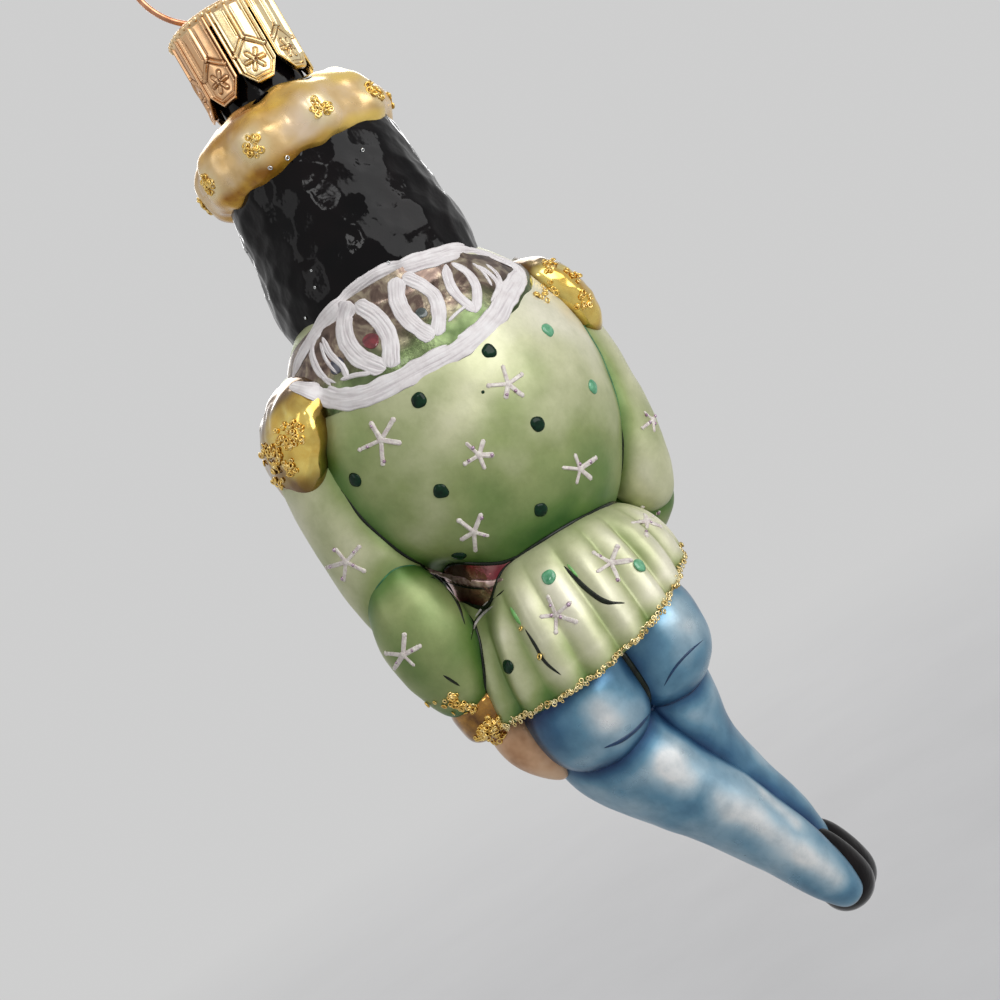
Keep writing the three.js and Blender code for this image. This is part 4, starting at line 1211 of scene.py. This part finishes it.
def build_hem():
    for side, start, end in (("back", -2, 178), ("front", 182, 358)):
        pile = Pile()
        points, normals = hem_line(start, end)
        rng = random.Random(start + 500)
        travel = 0.0
        for a, b, n in zip(points[:-1], points[1:], normals[:-1]):
            travel += np.linalg.norm(b - a)
            while travel > CHAIN_STEP:
                travel -= CHAIN_STEP
                size = rng.uniform(0.19, 0.33)
                drift = UPRIGHT * rng.gauss(-0.05, 0.22) + n * rng.uniform(-0.1, 0.3)
                ring_bead(pile, a + drift, n, size, rng.random())
        pile.make(f"hem_chain_{side}", "chain", [f"hem_trim_{side}"], "gold_glitter")


# Lights, floor and surroundings

BACKGROUND = 0.62
AMBIENT = 0.32
FLOOR_SIZE = 6.0
# Below the boots where the joints let the figure down furthest
FLOOR_Z = -0.214


def background_level(tree):
    """How bright the background is: for camera, mirror and transmitted rays, and lower as a light."""
    path = tree.nodes.new("ShaderNodeLightPath")
    seen = path.outputs["Is Camera Ray"]
    for ray in ("Is Glossy Ray", "Is Transmission Ray"):
        both = tree.nodes.new("ShaderNodeMath")
        both.operation = "MAXIMUM"
        tree.links.new(seen, both.inputs[0])
        tree.links.new(path.outputs[ray], both.inputs[1])
        seen = both.outputs[0]
    level = tree.nodes.new("ShaderNodeMix")
    tree.links.new(seen, level.inputs[0])
    level.inputs[2].default_value = AMBIENT
    level.inputs[3].default_value = BACKGROUND
    return level.outputs[0]


def fade_to_background(look):
    """Let the floor turn into the plain background away from the object."""
    far = look.node("ShaderNodeVectorMath", {"operation": "LENGTH"}, _0=look.place).outputs["Value"]
    share = look.ramp(look.math("MULTIPLY", far, 0.8), (0.2, 0.0), (0.5, 1.0))
    glow = look.node("ShaderNodeEmission", Strength=background_level(look.tree))
    both = look.node("ShaderNodeMixShader", _0=share, _1=look.shader.outputs[0], _2=glow.outputs[0])
    look.join(both.outputs[0], look.tree.nodes["Material Output"].inputs["Surface"])


def make_floor():
    look = Look("floor_paper", 0.65, Specular_IOR_Level=0.3)
    look.colour(look.cloud(60.0, 4, (0.35, (0.58, 0.58, 0.59)), (0.7, (0.62, 0.62, 0.63))))
    look.bump(0.8, 4, 0.05, 0.05)
    fade_to_background(look)
    mesh = bpy.data.meshes.new("floor")
    corners = [(x * FLOOR_SIZE, y * FLOOR_SIZE, FLOOR_Z) for x, y in ((-1, -1), (1, -1), (1, 1), (-1, 1))]
    mesh.from_pydata(corners, [], [(0, 1, 2, 3)])
    mesh.materials.append(look.material)
    linked("floor", mesh)


def softbox(name, direction, distance, width, height, power):
    data = bpy.data.lights.new(name, "AREA")
    data.shape = "RECTANGLE"
    data.size = width
    data.size_y = height
    data.energy = power
    lamp = linked(name, data)
    way = Vector(direction).normalized()
    lamp.location = Vector(TARGET * MM) + way * distance
    lamp.rotation_euler = way.to_track_quat("Z", "Y").to_euler()


def make_world():
    world = bpy.data.worlds.new("studio")
    bpy.context.scene.world = world
    world.use_nodes = True
    back = world.node_tree.nodes["Background"]
    world.node_tree.links.new(background_level(world.node_tree), back.inputs["Strength"])
    back.inputs["Color"].default_value = (1, 1, 1, 1)


# Paint and glitter, placed by the photograph

# The two white bands of the collar
COLLAR_LOWER = [(288, 384), (314, 391), (337, 399), (361, 397), (392, 384), (423, 367), (452, 352),
                (476, 336), (497, 315), (507, 297), (517, 281), (522, 268)]
COLLAR_UPPER = [(293, 378), (298, 362), (306, 347), (324, 322), (353, 294), (378, 276), (406, 266),
                (438, 256), (456, 251), (479, 252), (501, 260), (517, 268), (524, 282)]
# Single clear beads on the hat: a pixel, a seed and a radius
HAT_BEADS = [(312, 271, 300, 0.2), (316, 287, 301, 0.2), (305, 318, 302, 0.2), (246, 252, 303, 0.2),
             (362, 150, 304, 0.2), (388, 262, 305, 0.2), (271, 167, 320, 0.32), (287, 157, 321, 0.32)]
BUTTON_DEPTHS = (73, 79.5, 86)
DROPS = [(419, 400), (489, 351), (538, 424), (441, 491), (355, 480), (541, 510), (459, 556), (508, 667)]
# Painted highlights on the trousers: two ends of a line of pixels, and how far it reaches in mm
SHEEN = [(681, 606, 688, 622, 3.6), (668, 764, 688, 780, 2.4), (722, 800, 780, 838, 2.6),
         (780, 838, 838, 880, 2.1), (766, 794, 796, 822, 1.8), (596, 706, 606, 718, 2.8)]
PALE_DROPS = [(548, 330), (593, 387), (549, 577), (640, 565)]
# Snowflakes: a pixel, a size in pixels and a turn
SNOWFLAKES = [(381, 440, 42, 15), (508, 384, 36, 30), (479, 455, 34, 0), (580, 469, 34, 40),
              (474, 532, 36, 10), (346, 562, 34, 20), (403, 655, 34, 50), (653, 420, 26, 5),
              (556, 615, 38, 25), (611, 563, 36, 0), (647, 521, 30, 30)]
# Clusters of glitter rings: a pixel, a reach in pixels and a number of rings
GLITTER = [(290, 435, 14, 40), (270, 455, 12, 34), (285, 470, 12, 26), (275, 488, 9, 18), (548, 265, 8, 10),
           (545, 290, 12, 16), (580, 272, 14, 26), (583, 300, 10, 14), (452, 704, 12, 24), (432, 708, 9, 14),
           (468, 706, 8, 14), (492, 730, 15, 60), (484, 738, 10, 20), (521, 629, 1, 1), (541, 656, 1, 1)]
# Thin lines: a look, the way through the photograph and a width
DETAILS = [
    ("line", [(443, 675), (460, 686)], 0.4),
    ("line", [(564, 566), (577, 580), (590, 592), (606, 602), (625, 603)], 0.75),
    ("line", [(525, 629), (535, 645), (545, 662), (561, 675)], 0.6),
    ("bright_leaf", [(510, 607), (515, 616), (521, 625)], 0.75),
    ("bright_leaf", [(567, 564), (572, 570), (578, 577)], 0.4),
    ("line", [(420, 565), (435, 576), (449, 591), (459, 607), (465, 625)], 0.55),
    ("line", [(431, 570), (446, 583), (457, 600), (463, 616)], 0.4),
    ("pink", [(424, 568), (444, 576), (467, 582), (491, 584), (503, 579)], 1.3),
    ("line", [(430, 577), (450, 583), (470, 588), (494, 589)], 0.3),
    ("strand", [(493, 606), (484, 613), (476, 622), (471, 634)], 0.5),
    ("strand", [(490, 600), (482, 608), (475, 617)], 0.4),
    ("line", [(504, 590), (492, 601), (482, 612), (474, 625), (471, 640)], 0.5),
    ("blue_line", [(604, 748), (621, 741), (637, 729), (648, 716), (654, 705)], 0.75),
    ("blue_line", [(664, 686), (674, 669), (688, 653), (703, 640)], 0.4),
]
# Brushed bands of the collar's three loops and its loose strokes: a width and the way of each
LOOPS = [
    (2.7, [(350, 301), (344, 320), (347, 342), (361, 359), (386, 369)]),
    (2.5, [(355, 303), (375, 316), (388, 334), (391, 352), (391, 368)]),
    (2.5, [(397, 277), (397, 299), (406, 317), (421, 330), (434, 338)]),
    (2.1, [(402, 276), (420, 284), (435, 297), (439, 314), (437, 336)]),
    (1.6, [(446, 264), (448, 279), (455, 293), (467, 304), (475, 312)]),
    (1.5, [(451, 263), (467, 272), (476, 286), (477, 300), (475, 313)]),
    (0.9, [(318, 335), (312, 348), (317, 367), (331, 386)]),
    (1.0, [(322, 337), (330, 354), (342, 366), (348, 379)]),
    (0.6, [(320, 342), (326, 360), (338, 374)]),
    (0.5, [(309, 352), (318, 374), (336, 383)]),
    (0.9, [(477, 265), (491, 275), (499, 287), (491, 302)]),
    (0.7, [(486, 264), (497, 274), (503, 288)]),
    (0.6, [(472, 263), (483, 272), (492, 286)]),
    (0.5, [(448, 322), (458, 312), (466, 306)]),
    (0.7, [(340, 380), (356, 375), (372, 373)]),
]


def sideways(p):
    return p[0]


def round_waist(p):
    """Where a point lies round the figure, in mm at the waist's radius."""
    return 18 * math.atan2(p[1], p[0])


def at_back(p):
    return p[1] > 0.5


def at_seat(p):
    return p[1] > 6


def left_back(p):
    return at_back(p) and p[0] > 0


def right_back(p):
    return at_back(p) and p[0] < 0


def by_recess(p):
    return at_back(p) and p[0] > 4


# Crease lines: a look, the two forms that meet, what sorts the points, which points count, and a radius
CREASES = [
    ("line", "torso", "left_upper", depth_of, lambda p: left_back(p) and depth_of(p) > 68, 0.3),
    ("line", "torso", "left_forearm", depth_of, left_back, 0.3),
    ("line", "torso", "skirt", round_waist, at_back, 0.36),
    ("line", "torso", "waist", round_waist, by_recess, 0.32),
    ("line", "waist", "skirt", round_waist, by_recess, 0.36),
    ("line", "torso", "right_upper", depth_of, lambda p: right_back(p) and depth_of(p) > 80, 0.28),
    ("leaf_line", "torso", "right_upper", depth_of, lambda p: right_back(p) and depth_of(p) < 82, 0.2),
    ("line", "left_forearm", "skirt", depth_of, at_back, 0.34),
    ("leaf_line", "right_forearm", "skirt", depth_of, lambda p: p[0] < 0, 0.16),
    ("leaf_line", "left_upper", "left_forearm", sideways, at_back, 0.14),
    ("blue_line", "left_buttock", "left_leg", sideways, at_seat, 0.22),
    ("blue_line", "right_buttock", "right_leg", sideways, at_seat, 0.22),
    ("blue_line", "left_leg", "right_leg", depth_of, lambda p: True, 0.2),
    ("line", "left_buttock", "right_buttock", depth_of, at_seat, 0.75),
]


def build_creases():
    """The dark lines where the jacket's and the trousers' forms meet."""
    for i, (look, name, other, key, keep, radius) in enumerate(CREASES):
        bead_line(look, crossing(name, other, key, keep), radius, seed=i)


def build_paint():
    for i, (width, way) in enumerate(LOOPS):
        taper = 0.07 if width > 2 else 0.15
        draw("white", way, width, 0.25, 0.25, taper=taper, bristles=2 + int(width * 3), seed=30.0 + i)
    draw("white", COLLAR_UPPER, 2.6, 0.3, 0.3, taper=0.08, bristles=8, seed=9.0)
    draw("white", COLLAR_LOWER, 3.1, 0.32, 0.3, taper=0.08, bristles=9, seed=3.0)
    # Painted light in the silvered collar: a ruby and a navy painted reflection, and a grey spot of painted
    # shade.
    drop("ruby_reflection", 371, 341, 1.15, 0.1)
    drop("shade", 421, 313, 0.9, 0.1)
    drop("navy_reflection", 337, 366, 1.2, 0.12)
    for px, py in DROPS:
        drop("drop", px, py, 1.05, 0.35)
    for px, py in PALE_DROPS:
        drop("pale_drop", px, py, 1.05, 0.3)
    drop("drop", 483, 392, 0.25, 0.15)
    for i, (px, py, size, turn) in enumerate(SNOWFLAKES):
        snowflake(px, py, size, turn, 100 + 10 * i)
    for i, (look, pixels, width) in enumerate(DETAILS):
        draw(look, pixels, width, 0.12, 0.3, taper=0.3, seed=200 + i)
    for i, (px, py, r, n) in enumerate(GLITTER):
        ring_patch("glitter", px, py, r, n, 400 + i, 0.34)


build_cap()
build_hat()
build_head()
build_collar()
build_jacket()
build_arm(1, "left")
build_arm(-1, "right")
build_waist()
build_legs()
build_hem()
build_creases()
build_paint()
for look_name, pile in PAINT.items():
    pile.make(f"paint_{look_name}", look_name)

make_floor()
make_world()
softbox("key", TOWARDS * 0.7 + RIGHT * 0.5 + UP * 0.8, 0.6, 0.5, 0.5, 2.4)
softbox("spark", TOWARDS * 0.9 - RIGHT * 0.25 + UP * 0.5, 0.6, 0.09, 0.09, 0.16)
softbox("side", TOWARDS * 0.5 - RIGHT * 0.9 + UP * 0.1, 0.7, 0.2, 0.5, 0.35)
softbox("front", -TOWARDS * 0.8 + UPRIGHT * 0.5, 0.8, 0.5, 0.5, 2.4)
make_camera()

bpy.context.scene.view_settings.view_transform = "Standard"
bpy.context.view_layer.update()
